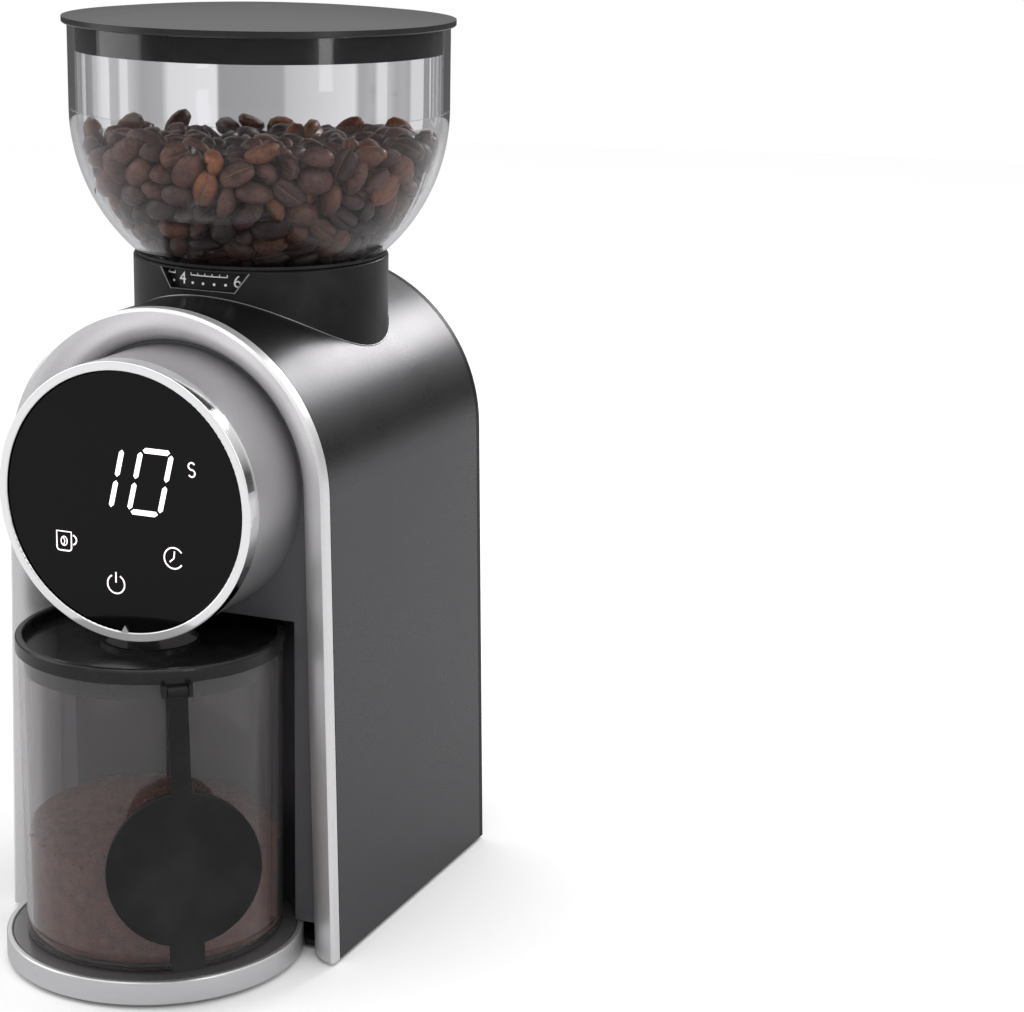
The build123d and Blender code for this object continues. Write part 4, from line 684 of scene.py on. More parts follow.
class GRINDER_OT_hopper_finish(bpy.types.Operator):
    """Finish the bean hopper, its lid and its base"""

    bl_idname = "grinder.hopper_finish"
    bl_label = "Hopper finish"

    def execute(self, context):
        tones = context.scene.grinder_finish
        paint(["hopper_bowl"], tinted_glass("bowl_clear", tones.bowl_tint, (0.92, 0.92, 0.93)))
        black = (0.014, 0.014, 0.0147, 1)
        lid, tree, shader, where = surface("hopper_lid_black", Base_Color=black)
        inputs = {"Vector": where, "Colour": black, "Grain": 2600.0, "Smudge": 0.3}
        placed = put_group(tree, shader, moulded_grain(), inputs, 0.03, 0.00004)
        high = part_of(tree, where, 2)
        edge = BOWL_HIGH.z + 0.2 * MM
        tree.links.new(span(tree, high, edge, edge + 0.0001, 0.20, 0.30), shader.inputs["Roughness"])
        # Painted shade: inside a radius of about 6.4 mm the lid's dimple is coloured near-black, standing in
        # for the shade in the recess.
        flat = node(tree, "ShaderNodeVectorMath", {0: where, 1: (1, 1, 0)}, operation="MULTIPLY").outputs[0]
        reach = node(tree, "ShaderNodeVectorMath", {0: flat}, operation="LENGTH").outputs["Value"]
        outside_painted_dimple_shade = span(tree, reach, 6.2 * MM, 6.6 * MM, 0.0, 1.0)
        shade = blend_colours(tree, outside_painted_dimple_shade, (0.001, 0.001, 0.001, 1), placed.outputs["Colour"])
        tree.links.new(shade, shader.inputs["Base Color"])
        paint(["hopper_lid"], lid)
        paint(["hopper_base", "adjusting_ring"], moulded("hopper_base_black", tones.moulding, 0.38))
        paint(["scale_band"], moulded("scale_black", (0.012, 0.012, 0.013), 0.3, 2600.0, 0.2, 0.05))
        paint(["hopper_seal"], moulded("seal_rubber", (0.012, 0.012, 0.012), 0.55))
        return {"FINISHED"}


class GRINDER_OT_works_finish(bpy.types.Operator):
    """Finish the burrs, gears, motor and boards inside the body"""

    bl_idname = "grinder.works_finish"
    bl_label = "Works finish"

    def execute(self, context):
        black = context.scene.grinder_finish.moulding
        axis = (0, 0, 0)
        motor = centre_of("motor_shaft")
        paint(["burr_carrier", "grinding_chamber", "grounds_chute", "display_carrier"],
              moulded("works_black", black, 0.45))
        paint(["shaft_seal", "spout_seal"], moulded("inner_rubber", (0.02, 0.02, 0.02), 0.6, 1300.0))
        paint(["impeller", "drive_gear", "idler_gear"],
              moulded("gear_acetal", (0.72, 0.70, 0.64), 0.36, 1400.0, 0.3, 0.15, Subsurface_Weight=0.1))
        paint(["gearbox_case", "gearbox_cover", "motor_end_cap", "hopper_switch"],
              moulded("gearbox_grey", (0.09, 0.095, 0.10), 0.42, 1200.0))
        paint(["ring_burr", "cone_burr"],
              turned_metal("burr_hardened", (0.33, 0.32, 0.31), axis, axis, 0.30, 1800.0, 0.3))
        paint(["burr_shaft", "burr_nut", "shaft_bearings", "idler_pin"],
              turned_metal("shaft_ground", (0.62, 0.62, 0.61), axis, axis, 0.22))
        paint(["motor_shaft"], turned_metal("motor_shaft_ground", (0.62, 0.62, 0.61), motor, axis, 0.22))
        paint(["motor_pinion"], turned_metal("pinion_brass", (0.78, 0.58, 0.26), motor, axis, 0.25))
        paint(["motor_can"], turned_metal("can_zinc", (0.55, 0.56, 0.56), motor, axis, 0.33, 900.0, 0.2))
        paint(["back_cover_screws", "bottom_screws", "gearbox_screws", "head_screws", "motor_screws",
               "detent_plunger", "detent_spring", "touch_springs"],
              satin("screw_black_zinc", (0.20, 0.20, 0.21), 0.32, 2800.0, 0.2, 0.1))
        paint(["motor_magnets"], moulded("magnet_ferrite", (0.05, 0.048, 0.047), 0.6, 900.0))
        paint(["rotor_core"],
              turned_metal("rotor_copper", (0.62, 0.30, 0.16), motor, axis, 0.35, 600.0, 0.5))
        paint(["power_board", "display_board"],
              moulded("board_green", (0.015, 0.10, 0.045), 0.35, 700.0, 0.2, 0.1))
        paint(["board_components", "digit_display"], moulded("component_dark", (0.03, 0.03, 0.035), 0.35))
        return {"FINISHED"}


# Marks


SEGMENTS = {  # seven bars of a digit as end points on a grid one wide and two high
    "a": ((0, 2), (1, 2)),
    "b": ((1, 2), (1, 1)),
    "c": ((1, 1), (1, 0)),
    "d": ((0, 0), (1, 0)),
    "e": ((0, 1), (0, 0)),
    "f": ((0, 2), (0, 1)),
    "g": ((0, 1), (1, 1)),
}
LIT = {"0": "abcdef", "1": "bc", "2": "abdeg", "3": "abcdg", "4": "bcfg", "5": "acdfg", "6": "acdefg",
       "7": "abc", "8": "abcdefg", "9": "abcdfg"}


def on_the_glass(u, v, out):
    """Place on the display's face: u is across, v is the height."""
    return Vector((u, GLASS_FACE - 0.02 * MM - out, v))


def digit_bars(character, left, foot, height):
    """Slanted bars of one digit, each with pointed ends."""
    wide, half = height * 0.54, height / 2
    bar = height * 0.085
    slant = 0.235
    outlines = []
    for name in LIT[character]:
        (u0, v0), (u1, v1) = SEGMENTS[name]
        ends = Vector((u0 * wide, v0 * half)), Vector((u1 * wide, v1 * half))
        along = (ends[1] - ends[0]).normalized()
        across = Vector((-along.y, along.x)) * bar / 2
        gap = along * height * 0.030
        tip = along * bar / 2
        start, end = ends[0] + gap, ends[1] - gap
        corners = [start, start + tip + across, end - tip + across,
                   end, end - tip - across, start + tip - across]
        outlines.append([(left + p.x + slant * p.y, foot + p.y) for p in corners])
    return outlines


class GRINDER_OT_display_marks(bpy.types.Operator):
    """Make the display's digits and touch marks"""

    bl_idname = "grinder.display_marks"
    bl_label = "Display marks"

    def execute(self, context):
        settings = context.scene.grinder_marks
        if any(c not in LIT for c in settings.number):
            raise ValueError("the display shows only digits")
        height = settings.digit_height
        foot = DIAL.z + 9 * MM - height / 2
        pitch = height * 0.87
        left = DIAL.x + 2.45 * MM
        digits = []
        for i, character in enumerate(settings.number):
            digits += digit_bars(character, left + (i - 1) * pitch, foot, height)
        lit = glowing("digit_glow", settings.glow, settings.glow_strength)
        mesh = mesh_of("display_digits", *plates(digits, on_the_glass, 0.05 * MM))
        new_piece("display_digits", mesh, lit, "housing")

        line = settings.line
        cup_u, cup_v = DIAL.x - 25.2 * MM, DIAL.z - 17.6 * MM
        clock_u, clock_v = DIAL.x + 21 * MM, DIAL.z - 18.7 * MM
        power_u, power_v = DIAL.x - 3.7 * MM, DIAL.z - 31.7 * MM
        mark = 3.7 * MM
        quads = []
        corner = mark * 0.35
        cup = [(cup_u - mark, cup_v + mark), (cup_u + mark * 0.7, cup_v + mark)]
        cup += [(cup_u + mark * 0.7, cup_v - mark + corner)]
        cup += arc(cup_u + mark * 0.7 - corner, cup_v - mark + corner, corner, 0, -90, 5)[1:]
        cup += arc(cup_u - mark + corner, cup_v - mark + corner, corner, 270, 180, 5)
        quads += stroke(cup, line, closed=True)
        quads += stroke(arc(cup_u + mark * 0.8, cup_v + mark * 0.2, mark * 0.5, 80, -80, 10), line)
        bean = [(cup_u + mark * (0.36 * cos(a) - 0.15), cup_v + mark * 0.48 * sin(a))
                for a in (2 * pi * i / 16 for i in range(16))]
        quads += stroke(bean, line * 0.7, closed=True)
        quads += stroke([(cup_u - mark * 0.25, cup_v + mark * 0.42), (cup_u - mark * 0.05, cup_v),
                         (cup_u - mark * 0.22, cup_v - mark * 0.42)], line * 0.7)
        quads += stroke(arc(clock_u, clock_v, mark * 1.08, 35, 325, 32), line)
        quads += stroke([(clock_u + mark * 0.1, clock_v + mark * 0.72), (clock_u + mark * 0.02, clock_v),
                         (clock_u - mark * 0.45, clock_v - mark * 0.42)], line)
        quads += stroke(arc(power_u, power_v, mark * 0.98, 118, 422, 32), line)
        quads += stroke([(power_u, power_v + mark * 1.25), (power_u, power_v + mark * 0.15)], line)
        unit_u, unit_v, unit_r = DIAL.x + 29 * MM, DIAL.z + 15.7 * MM, 1.55 * MM
        hook = arc(unit_u, unit_v + unit_r * 0.86, unit_r * 0.86, 30, 270, 14)
        hook += arc(unit_u, unit_v - unit_r * 0.86, unit_r * 0.86, 90, -150, 14)[1:]
        quads += stroke(hook, line)
        soft = glowing("touch_glow", [c * 0.92 for c in settings.glow], settings.glow_strength * 0.75)
        mesh = mesh_of("touch_marks", *plates(quads, on_the_glass, 0.05 * MM))
        new_piece("touch_marks", mesh, soft, "housing")
        return {"FINISHED"}


def round_the_band(u, v, out):
    """Place on the scale band: u is the angle from the front in degrees, v the height."""
    turn = radians(u)
    radius = BAND_RADIUS + out
    return Vector((radius * sin(turn), -radius * cos(turn), v))


def printed_on_band(u, v, out):
    """Place just clear of the scale band."""
    return round_the_band(u, v, out + 0.02 * MM)


def round_the_collar(u, v, out):
    """Place on the collar: u is the distance round it from the front, v the height."""
    radius = COLLAR_RADIUS + 0.03 * MM + out
    turn = u / COLLAR_RADIUS
    return Vector((radius * sin(turn), -radius * cos(turn), v))


def numeral_mesh(text, angle, height, size):
    """Flat numeral bent round the scale band, as vertices and faces."""
    curve = bpy.data.curves.new("numeral", "FONT")
    curve.body = text
    curve.size = size
    curve.align_x, curve.align_y = "CENTER", "CENTER"
    curve.extrude = 0.04 * MM
    holder = bpy.data.objects.new("numeral", curve)
    bpy.context.scene.collection.objects.link(holder)
    flat = bpy.data.meshes.new_from_object(holder.evaluated_get(bpy.context.evaluated_depsgraph_get()))
    bpy.data.objects.remove(holder)
    vertices = [round_the_band(angle + v.co.x / BAND_RADIUS * 180 / pi, height + v.co.y, v.co.z + 0.05 * MM)
                for v in flat.vertices]
    faces = [list(p.vertices) for p in flat.polygons]
    bpy.data.meshes.remove(flat)
    return vertices, faces


class GRINDER_OT_scale_marks(bpy.types.Operator):
    """Make the dots, lines and numbers of the grind scale"""

    bl_idname = "grinder.scale_marks"
    bl_label = "Scale marks"

    def execute(self, context):
        low, high = COLLAR_HIGH.z - WINDOW_HEIGHT, COLLAR_HIGH.z - WINDOW_HEAD
        middle = (low + high) / 2
        dot_row, line_row = middle - 1.3 * MM, middle + 1.7 * MM
        ink, tree, shader, where = surface("scale_ink", Roughness=0.45)
        speck = noise(tree, where, 1500.0, 2.0, 0.5)
        worn = span(tree, speck, 0.35, 0.65, 0.0, 1.0)
        shade = blend_colours(tree, worn, (0.86, 0.86, 0.86, 1), (0.66, 0.66, 0.66, 1))
        tree.links.new(shade, shader.inputs["Base Color"])
        vertices, faces = [], []

        def add(more):
            start = len(vertices)
            vertices.extend(more[0])
            faces.extend([[start + i for i in face] for face in more[1]])

        outlines = []
        step, first_angle = 28, -39.5
        numbers, dots = 7, 4
        radius = 0.55 * MM
        turn = radius / BAND_RADIUS * 180 / pi
        sweep = [2 * pi * i / 12 for i in range(12)]
        line, tick, rise = 0.22 * MM, 0.22, 1.0 * MM  # half widths and a height; the tick's is in degrees
        for k in range(numbers):
            angle = first_angle + step * k
            add(numeral_mesh(str(2 * k + 2), angle, middle, 6.8 * MM))
            if k < numbers - 1:
                for d in range(dots):
                    spot = angle + step * (d + 1) / (dots + 1)
                    outlines.append([(spot + turn * cos(a), dot_row + radius * sin(a)) for a in sweep])
                reach = [angle + step * (0.17 + 0.66 * i / 10) for i in range(11)]
                for left, right in zip(reach, reach[1:]):
                    outlines.append(rectangle(left, right, line_row - line, line_row + line))
                for at in reach[::2]:
                    outlines.append(rectangle(at - tick, at + tick, line_row - 0.1 * MM, line_row + rise))
        add(plates(outlines, printed_on_band, 0.06 * MM))
        mesh = mesh_of("scale_marks", vertices, faces)
        new_piece("scale_marks", mesh, ink, "hopper")

        # Painted highlight: a thin light grey line round the scale window stands in for the light caught on
        # the window's bevelled edge.
        wide = radians(WINDOW_TOP_ANGLE) * COLLAR_RADIUS
        narrow = radians(WINDOW_FOOT_ANGLE) * COLLAR_RADIUS
        outline = stroke([(-wide, high), (-narrow, low), (narrow, low), (wide, high)], 0.35 * MM)
        vertices, faces = plates(outline, round_the_collar, 0.06 * MM)
        edge = moulded("window_painted_highlight_grey", (0.30, 0.30, 0.30), 0.35)
        new_piece("window_edge", mesh_of("window_edge", vertices, faces), edge, "housing")
        return {"FINISHED"}


# Trim lines


def tube_along(path, radius, sides=8, closed=True):
    """Vertices and faces of a thin round bead along a path."""
    count = len(path)
    vertices, faces = [], []
    for i, point in enumerate(path):
        before = path[(i - 1) % count] if closed or i else path[0]
        after = path[(i + 1) % count] if closed or i < count - 1 else path[-1]
        ahead = (after - before).normalized()
        side = ahead.cross(Vector((0, 0, 1)))
        side = side.normalized() if side.length > 1e-6 else Vector((1, 0, 0))
        rise = side.cross(ahead)
        for k in range(sides):
            turn = 2 * pi * k / sides
            vertices.append(point + radius * (cos(turn) * side + sin(turn) * rise))
    for i in range(count if closed else count - 1):
        j = (i + 1) % count
        for k in range(sides):
            m = (k + 1) % sides
            faces.append([i * sides + k, i * sides + m, j * sides + m, j * sides + k])
    return vertices, faces


class GRINDER_OT_trim_lines(bpy.types.Operator):
    """Make the bright bead where the collar leaves the shell"""

    bl_idname = "grinder.trim_lines"
    bl_label = "Trim lines"

    def execute(self, context):
        radius = COLLAR_RADIUS + 0.25 * MM
        steps = 180
        path = []
        for i in range(steps):
            turn = 2 * pi * i / steps
            x, y = radius * cos(turn), radius * sin(turn)
            path.append(Vector((x, y, ARCH_MIDDLE + sqrt(ARCH_RADIUS**2 - x * x) + 0.05 * MM)))
        bright = satin("bead_bright", (0.28, 0.28, 0.29), 0.20, 3000.0, 0.05, 0.03)
        mesh = mesh_of("collar_bead", *tube_along(path, 0.3 * MM), smooth=True)
        new_piece("collar_bead", mesh, bright, "housing")
        return {"FINISHED"}


# Beans


def settle_beans(count, half, radius, seed):
    """Centres and long axes of beans that have dropped into the bowl and stopped moving."""
    draw = np.random.default_rng(seed)
    bowl = BOWL_RADIUS - 3.3 * MM
    throat = 27.3 * MM
    floor = 0.2437
    middle = BOWL_MIDDLE
    centres = np.empty((0, 3))
    while len(centres) < count:
        tries = draw.uniform((-bowl, -bowl, middle - bowl), (bowl, bowl, middle + 0.004), (count, 3))
        inside = np.linalg.norm(tries - (0, 0, middle), axis=1) < bowl - radius
        centres = np.vstack([centres, tries[inside]])
    centres = centres[:count]
    axes = draw.normal(size=(count, 3))
    axes /= np.linalg.norm(axes, axis=1)[:, None]
    owner = np.concatenate([np.arange(count), np.arange(count)])
    pairs = None
    rounds = 260
    for step in range(rounds):
        fall = 0.00045 * (1 - step / rounds)
        centres[:, 2] -= fall
        balls = np.concatenate([centres - axes * half, centres + axes * half])
        if step % 4 == 0:
            squares = (balls**2).sum(1)
            apart = squares[:, None] + squares[None, :] - 2 * balls @ balls.T
            first, second = np.nonzero(np.triu(apart < (2 * radius + 0.002) ** 2, 1))
            kept = owner[first] != owner[second]
            pairs = first[kept], second[kept]
        for _ in range(3):
            gap = balls[pairs[0]] - balls[pairs[1]]
            length = np.linalg.norm(gap, axis=1)
            push = np.clip(2 * radius - length, 0, None) * 0.42
            shift = gap / np.maximum(length, 1e-9)[:, None] * push[:, None]
            move = np.zeros_like(balls)
            np.add.at(move, pairs[0], shift)
            np.add.at(move, pairs[1], -shift)
            balls += move
            across = np.linalg.norm(balls[:, :2], axis=1)
            from_middle = balls - (0, 0, middle)
            below = from_middle[:, 2] < 0
            reach = np.where(below, np.linalg.norm(from_middle, axis=1), across)
            out = (reach > bowl - radius) & ~(across < throat - radius)
            scale = np.where(out, (bowl - radius) / np.maximum(reach, 1e-9), 1.0)
            from_middle[:, :2] *= scale[:, None]
            from_middle[:, 2] *= np.where(below, scale, 1.0)
            balls = from_middle + (0, 0, middle)
            balls[:, 2] = np.maximum(balls[:, 2], floor + radius)
        low, high = balls[:count], balls[count:]
        centres = (low + high) / 2
        axes = high - low
        axes /= np.maximum(np.linalg.norm(axes, axis=1), 1e-9)[:, None]
    return centres, axes, draw


def bean_shape(length):
    """Low roasted bean along X, with a rounded back, a flatter face, and a cleft that an attribute marks."""
    section = [(0.0, -0.30), (0.16, -0.66), (0.74, -0.58), (1.0, 0.0), (0.70, 0.68), (0.0, 1.0),
               (-0.70, 0.68), (-1.0, 0.0), (-0.74, -0.58), (-0.16, -0.66)]
    wide, thick = length * 0.365, length * 0.295
    rows = [-0.86, -0.48, 0.0, 0.48, 0.86]
    vertices = [(-length / 2, 0, -thick * 0.12)]
    cleft = [0.6]
    for row in rows:
        swell = sqrt(1 - row * row) ** 0.82
        for i, (y, z) in enumerate(section):
            deep = z if i else z - 0.12 * (1 - row * row)
            vertices.append((row * length / 2, y * wide * swell, (deep if z < 0 else z) * thick * swell))
            cleft.append(1.0 if i == 0 else 0.0)
    vertices.append((length / 2, 0, -thick * 0.12))
    cleft.append(0.6)
    around, last = len(section), len(vertices) - 1
    faces = []
    for i in range(around):
        j = (i + 1) % around
        faces.append([0, 1 + j, 1 + i])
        for r in range(len(rows) - 1):
            a, b = 1 + r * around, 1 + (r + 1) * around
            faces.append([a + i, a + j, b + j, b + i])
        faces.append([1 + (len(rows) - 1) * around + i, 1 + (len(rows) - 1) * around + j, last])
    mesh = mesh_of("bean", vertices, faces, smooth=True)
    mark = mesh.attributes.new("cleft", "FLOAT", "POINT")
    mark.data.foreach_set("value", cleft)
    return mesh


def bean_tree():
    """Geometry nodes: a bean on each point, turned by the point's own attribute and sized at random."""
    tree = bpy.data.node_groups.new("Scatter beans", "GeometryNodeTree")
    face = tree.interface
    face.new_socket("Points", in_out="INPUT", socket_type="NodeSocketGeometry")
    face.new_socket("Bean", in_out="INPUT", socket_type="NodeSocketObject")
    face.new_socket("Finish", in_out="INPUT", socket_type="NodeSocketMaterial")
    face.new_socket("Size", in_out="INPUT", socket_type="NodeSocketFloat")
    face.new_socket("Spread", in_out="INPUT", socket_type="NodeSocketFloat")
    face.new_socket("Seed", in_out="INPUT", socket_type="NodeSocketInt")
    face.new_socket("Beans", in_out="OUTPUT", socket_type="NodeSocketGeometry")
    given, out = tree.nodes.new("NodeGroupInput"), tree.nodes.new("NodeGroupOutput")
    bean = node(tree, "GeometryNodeObjectInfo", {"Object": given.outputs["Bean"]})
    turn = node(tree, "GeometryNodeInputNamedAttribute", {"Name": "turn"}, data_type="FLOAT_VECTOR")
    spread = given.outputs["Spread"]
    least = node(tree, "ShaderNodeMath", {0: given.outputs["Size"], 1: spread}, operation="SUBTRACT")
    most = node(tree, "ShaderNodeMath", {0: given.outputs["Size"], 1: spread}, operation="ADD")
    size = node(tree, "FunctionNodeRandomValue", {"Seed": given.outputs["Seed"]}, data_type="FLOAT_VECTOR")
    tree.links.new(least.outputs[0], size.inputs[0])
    tree.links.new(most.outputs[0], size.inputs[1])
    placed = node(tree, "GeometryNodeInstanceOnPoints", {
        "Points": given.outputs["Points"], "Instance": bean.outputs["Geometry"],
        "Rotation": turn.outputs["Attribute"], "Scale": size.outputs[0]})
    tone = node(tree, "FunctionNodeRandomValue", {"Seed": given.outputs["Seed"]}, data_type="FLOAT")
    stored = node(tree, "GeometryNodeStoreNamedAttribute", {
        "Geometry": placed.outputs[0], "Name": "tone", "Value": tone.outputs[1]},
        data_type="FLOAT", domain="INSTANCE")
    real = node(tree, "GeometryNodeRealizeInstances", {0: stored.outputs[0]})
    done = node(tree, "GeometryNodeSetMaterial", {
        "Geometry": real.outputs[0], "Material": given.outputs["Finish"]})
    tree.links.new(done.outputs[0], out.inputs[0])
    return tree


def grown(name, base_mesh, tree, values, body):
    """Runs a geometry tree on a mesh, keeps the result as a plain mesh, and gives it its body."""
    seed_object = bpy.data.objects.new(name + "_base", base_mesh)
    bpy.context.scene.collection.objects.link(seed_object)
    modifier = seed_object.modifiers.new("grow", "NODES")
    modifier.node_group = tree
    sockets = {item.name: item.identifier for item in tree.interface.items_tree
               if item.item_type == "SOCKET" and item.in_out == "INPUT"}
    for label, value in values.items():
        modifier[sockets[label]] = value
    bpy.context.view_layer.update()
    evaluated = seed_object.evaluated_get(bpy.context.evaluated_depsgraph_get())
    mesh = bpy.data.meshes.new_from_object(evaluated)
    seed_object.modifiers.remove(modifier)
    bpy.data.objects.remove(seed_object)
    mesh.name = name
    if not mesh.polygons:
        raise RuntimeError(f"{name} came out empty")
    return new_piece(name, mesh, None, body)


BEANS_DARK = BOWL_MIDDLE - 56 * MM  # heights between which painted shade darkens the beans towards the bowl's foot
BEANS_CLEAR = BEANS_DARK + 32 * MM


def bean_finish():
    """Dark roast: each bean has its own tone, with a lighter line in the cleft, and painted shade that
    darkens the beans towards the bowl's foot.
    """
    material, tree, shader, where = surface("roasted_bean", Coat_Weight=0.2, Coat_Roughness=0.16, IOR=1.33)
    tone = node(tree, "ShaderNodeAttribute", attribute_name="tone").outputs["Fac"]
    cleft = node(tree, "ShaderNodeAttribute", attribute_name="cleft").outputs["Fac"]
    dark = ramp(tree, tone, [(0.0, (0.016, 0.008, 0.007)), (0.45, (0.030, 0.013, 0.011)),
                             (0.8, (0.055, 0.022, 0.016)), (1.0, (0.11, 0.035, 0.016))])
    light = ramp(tree, tone, [(0.0, (0.080, 0.040, 0.035)), (0.45, (0.14, 0.066, 0.055)),
                              (0.8, (0.22, 0.095, 0.064)), (1.0, (0.40, 0.14, 0.055))])
    inputs = {"Vector": where, "Dark": dark, "Light": light, "Scale": 700.0}
    placed = put_group(tree, shader, roast_mottle(), inputs, 0.35, 0.3 * MM)
    line = span(tree, cleft, 0.45, 0.95, 0.0, 0.9)
    colour = blend_colours(tree, line, placed.outputs["Colour"], (0.24, 0.13, 0.065, 1))
    # Painted shade: beans low in the bowl are blended towards near-black, standing in for the light lost in
    # the bowl's foot.
    deep = span(tree, part_of(tree, where, 2), BEANS_DARK, BEANS_CLEAR, 0.9, 0.0)
    colour = blend_colours(tree, deep, colour, (0.004, 0.002, 0.002, 1))
    tree.links.new(colour, shader.inputs["Base Color"])
    return material


class GRINDER_OT_beans(bpy.types.Operator):
    """Fill the hopper with settled coffee beans"""

    bl_idname = "grinder.beans"
    bl_label = "Coffee beans"

    def execute(self, context):
        settings = context.scene.grinder_contents
        length = settings.bean_length
        half, radius = length * 0.178, length * 0.302  # the two balls that stand in for a bean
        centres, axes, draw = settle_beans(settings.beans, half, radius, settings.bean_seed)
        turns = []
        for axis in axes:
            turn = Vector(axis).to_track_quat("X", "Z").to_matrix()
            roll = Matrix.Rotation(draw.uniform(0, 2 * pi), 3, "X")
            turns.append((turn @ roll).to_euler())
        points = bpy.data.meshes.new("bean_points")
        points.from_pydata([tuple(c) for c in centres], [], [])
        held = points.attributes.new("turn", "FLOAT_VECTOR", "POINT")
        held.data.foreach_set("vector", [c for turn in turns for c in turn])
        bean = new_piece("bean_pattern", bean_shape(length), None, None)
        values = {"Bean": bean, "Finish": bean_finish(), "Size": 1.0, "Spread": 0.10,
                  "Seed": settings.bean_seed}
        grown("coffee_beans", points, bean_tree(), values, "hopper")
        bpy.data.objects.remove(bean)
        return {"FINISHED"}


# Ground coffee


def mound_mesh(level, seed):
    """Body of ground coffee in the jar: a closed round block with an uneven, slightly domed top."""
    draw = np.random.default_rng(seed)
    floor = JAR_LOW.z + 3.5 * MM
    dome, lean = 9.0 * MM, 0.04
    foot_r, top_r = JAR_RADIUS - 3.2 * MM, JAR_RADIUS - 2.85 * MM
    waves = []
    for _ in range(14):
        pace, lay, start = draw.uniform(40, 190), draw.uniform(0, 2 * pi), draw.uniform(0, 2 * pi)
        waves.append((pace, lay, start, draw.uniform(0.15, 0.5) * MM))

    def top(x, y):
        rise = 0.0
        for pace, lay, start, swing in waves:
            rise += swing * sin(pace * (x * cos(lay) + y * sin(lay)) + start)
        return floor + level + rise + dome * (1 - (x * x + y * y) / top_r**2) - lean * x

    around, rings, walls = 128, 20, 14
    vertices, faces = [], []
    vertices.append((JAR.x, JAR.y, top(0, 0)))
    for r in range(1, rings + 1):
        radius = top_r * r / rings
        for i in range(around):
            turn = 2 * pi * i / around
            x, y = radius * cos(turn), radius * sin(turn)
            vertices.append((JAR.x + x, JAR.y + y, top(x, y)))
    for w in range(1, walls + 1):
        for i in range(around):
            turn = 2 * pi * i / around
            share = w / walls
            radius = top_r + (foot_r - top_r) * share
            x, y = radius * cos(turn), radius * sin(turn)
            high = top(top_r * cos(turn), top_r * sin(turn))
            vertices.append((JAR.x + x, JAR.y + y, high + (floor - high) * share))
    vertices.append((JAR.x, JAR.y, floor))
    for i in range(around):
        faces.append([0, 1 + i, 1 + (i + 1) % around])
    for r in range(rings + walls - 1):
        a, b = 1 + r * around, 1 + (r + 1) * around
        for i in range(around):
            j = (i + 1) % around
            faces.append([a + i, b + i, b + j, a + j])
    last = 1 + (rings + walls - 1) * around
    for i in range(around):
        faces.append([last + i, len(vertices) - 1, last + (i + 1) % around])
    return mesh_of("ground_coffee", vertices, faces, smooth=True)


def granule_tree():
    """Geometry nodes: small broken granules scattered over the top of the ground coffee."""
    tree = bpy.data.node_groups.new("Scatter granules", "GeometryNodeTree")
    face = tree.interface
    face.new_socket("Surface", in_out="INPUT", socket_type="NodeSocketGeometry")
    face.new_socket("Finish", in_out="INPUT", socket_type="NodeSocketMaterial")
    face.new_socket("Density", in_out="INPUT", socket_type="NodeSocketFloat")
    face.new_socket("Smallest", in_out="INPUT", socket_type="NodeSocketFloat")
    face.new_socket("Largest", in_out="INPUT", socket_type="NodeSocketFloat")
    face.new_socket("Seed", in_out="INPUT", socket_type="NodeSocketInt")
    face.new_socket("Granules", in_out="OUTPUT", socket_type="NodeSocketGeometry")
    given, out = tree.nodes.new("NodeGroupInput"), tree.nodes.new("NodeGroupOutput")
    normal = node(tree, "GeometryNodeInputNormal")
    upward = node(tree, "ShaderNodeSeparateXYZ", {0: normal.outputs[0]})
    is_top = node(tree, "ShaderNodeMath", {0: upward.outputs[2], 1: 0.5}, operation="GREATER_THAN")
    points = node(tree, "GeometryNodeDistributePointsOnFaces", {
        "Mesh": given.outputs["Surface"], "Selection": is_top.outputs[0],
        "Density": given.outputs["Density"], "Seed": given.outputs["Seed"]})
    granule = node(tree, "GeometryNodeMeshIcoSphere", {"Radius": 1.0, "Subdivisions": 1})
    full_turn = (6.28,) * 3
    turn = node(tree, "FunctionNodeRandomValue", {
        0: (0, 0, 0), 1: full_turn, "Seed": given.outputs["Seed"]}, data_type="FLOAT_VECTOR")
    size = node(tree, "FunctionNodeRandomValue", {"Seed": given.outputs["Seed"]}, data_type="FLOAT_VECTOR")
    tree.links.new(given.outputs["Smallest"], size.inputs[0])
    tree.links.new(given.outputs["Largest"], size.inputs[1])
    placed = node(tree, "GeometryNodeInstanceOnPoints", {
        "Points": points.outputs["Points"], "Instance": granule.outputs["Mesh"],
        "Rotation": turn.outputs[0], "Scale": size.outputs[0]})
    real = node(tree, "GeometryNodeRealizeInstances", {0: placed.outputs[0]})
    joined = node(tree, "GeometryNodeJoinGeometry")
    tree.links.new(real.outputs[0], joined.inputs[0])
    tree.links.new(given.outputs["Surface"], joined.inputs[0])
    done = node(tree, "GeometryNodeSetMaterial", {
        "Geometry": joined.outputs[0], "Material": given.outputs["Finish"]})
    tree.links.new(done.outputs[0], out.inputs[0])
    return tree


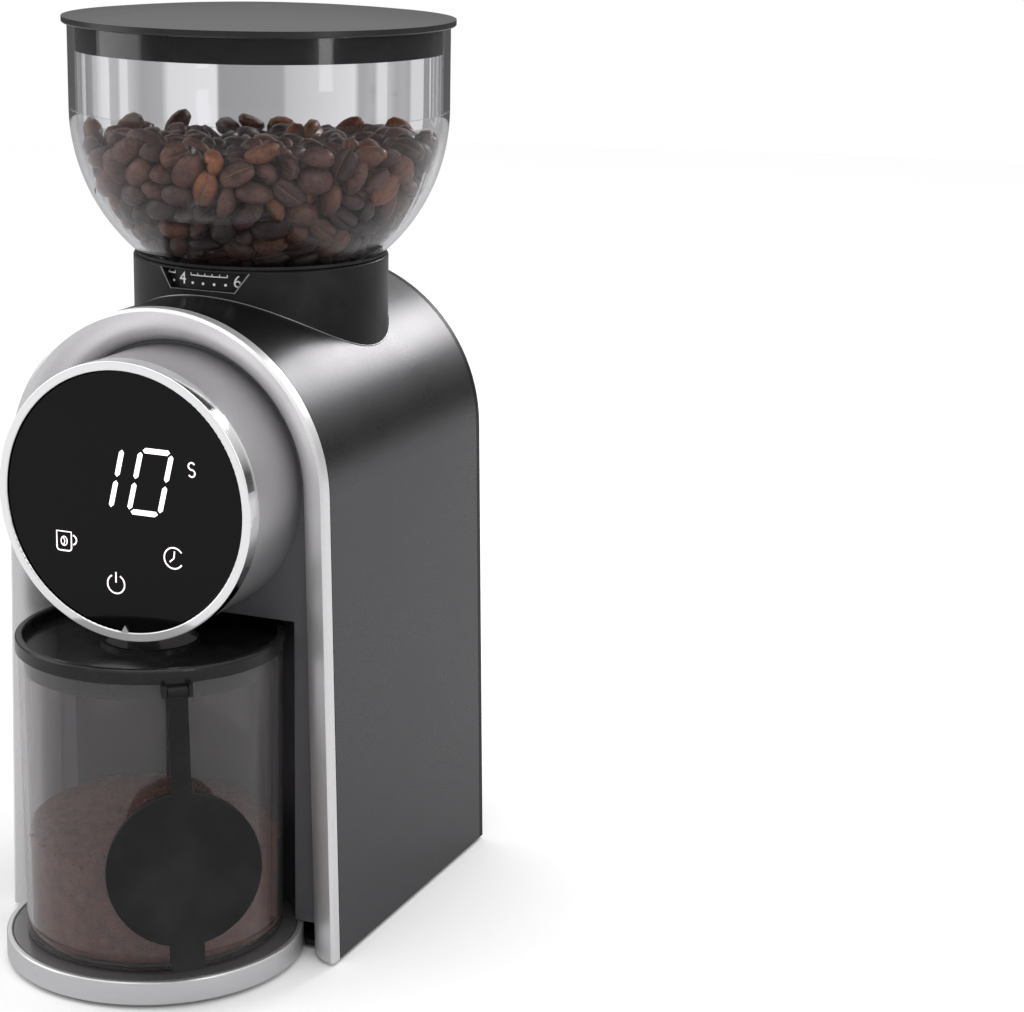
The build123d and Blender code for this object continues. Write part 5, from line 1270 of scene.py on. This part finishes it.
class GRINDER_OT_grounds(bpy.types.Operator):
    """Part-fill the canister with ground coffee"""

    bl_idname = "grinder.grounds"
    bl_label = "Ground coffee"

    def execute(self, context):
        settings = context.scene.grinder_contents
        material, tree, shader, where = surface("ground_roast", Specular_IOR_Level=0.3)
        inputs = {"Vector": where, "Dark": (0.075, 0.024, 0.014, 1), "Light": (0.30, 0.115, 0.065, 1),
                  "Scale": 1500.0}
        placed = put_group(tree, shader, roast_mottle(), inputs, 0.8, 0.6 * MM)
        rough = maths(tree, "MAXIMUM", placed.outputs["Roughness"], 0.6)
        tree.links.new(rough, shader.inputs["Roughness"])
        values = {"Finish": material, "Density": float(settings.granules), "Smallest": 0.3 * MM,
                  "Largest": 0.9 * MM, "Seed": settings.grounds_seed}
        mesh = mound_mesh(settings.grounds_level, settings.grounds_seed)
        grown("ground_coffee", mesh, granule_tree(), values, "canister")
        return {"FINISHED"}


# Panel and registration


class GRINDER_PT_panel(bpy.types.Panel):
    """Lists the pieces of the grinder with their settings"""

    bl_idname = "GRINDER_PT_panel"
    bl_label = "Burr coffee grinder"
    bl_space_type = "VIEW_3D"
    bl_region_type = "UI"
    bl_category = "Grinder"

    def draw(self, context):
        for operator in OPERATORS:
            self.layout.operator(operator.bl_idname)
        for holder, group in SETTINGS.items():
            box = self.layout.box()
            for name in group.__annotations__:
                box.prop(getattr(context.scene, holder), name)


SETTINGS = {
    "grinder_stage": StageSettings,
    "grinder_finish": FinishSettings,
    "grinder_contents": ContentSettings,
    "grinder_marks": MarkSettings,
}
OPERATORS = (
    GRINDER_OT_stage,
    GRINDER_OT_body_finish,
    GRINDER_OT_head_finish,
    GRINDER_OT_base_finish,
    GRINDER_OT_canister_finish,
    GRINDER_OT_hopper_finish,
    GRINDER_OT_works_finish,
    GRINDER_OT_display_marks,
    GRINDER_OT_scale_marks,
    GRINDER_OT_trim_lines,
    GRINDER_OT_beans,
    GRINDER_OT_grounds,
)


def register():
    for group in (*SETTINGS.values(), *OPERATORS, GRINDER_PT_panel):
        bpy.utils.register_class(group)
    for holder, group in SETTINGS.items():
        setattr(bpy.types.Scene, holder, PointerProperty(type=group))


def unregister():
    for holder in SETTINGS:
        delattr(bpy.types.Scene, holder)
    for group in reversed((*SETTINGS.values(), *OPERATORS, GRINDER_PT_panel)):
        bpy.utils.unregister_class(group)


def main():
    register()
    for operator in OPERATORS:
        section, name = operator.bl_idname.split(".")
        getattr(getattr(bpy.ops, section), name)()


if __name__ == "__main__":
    main()
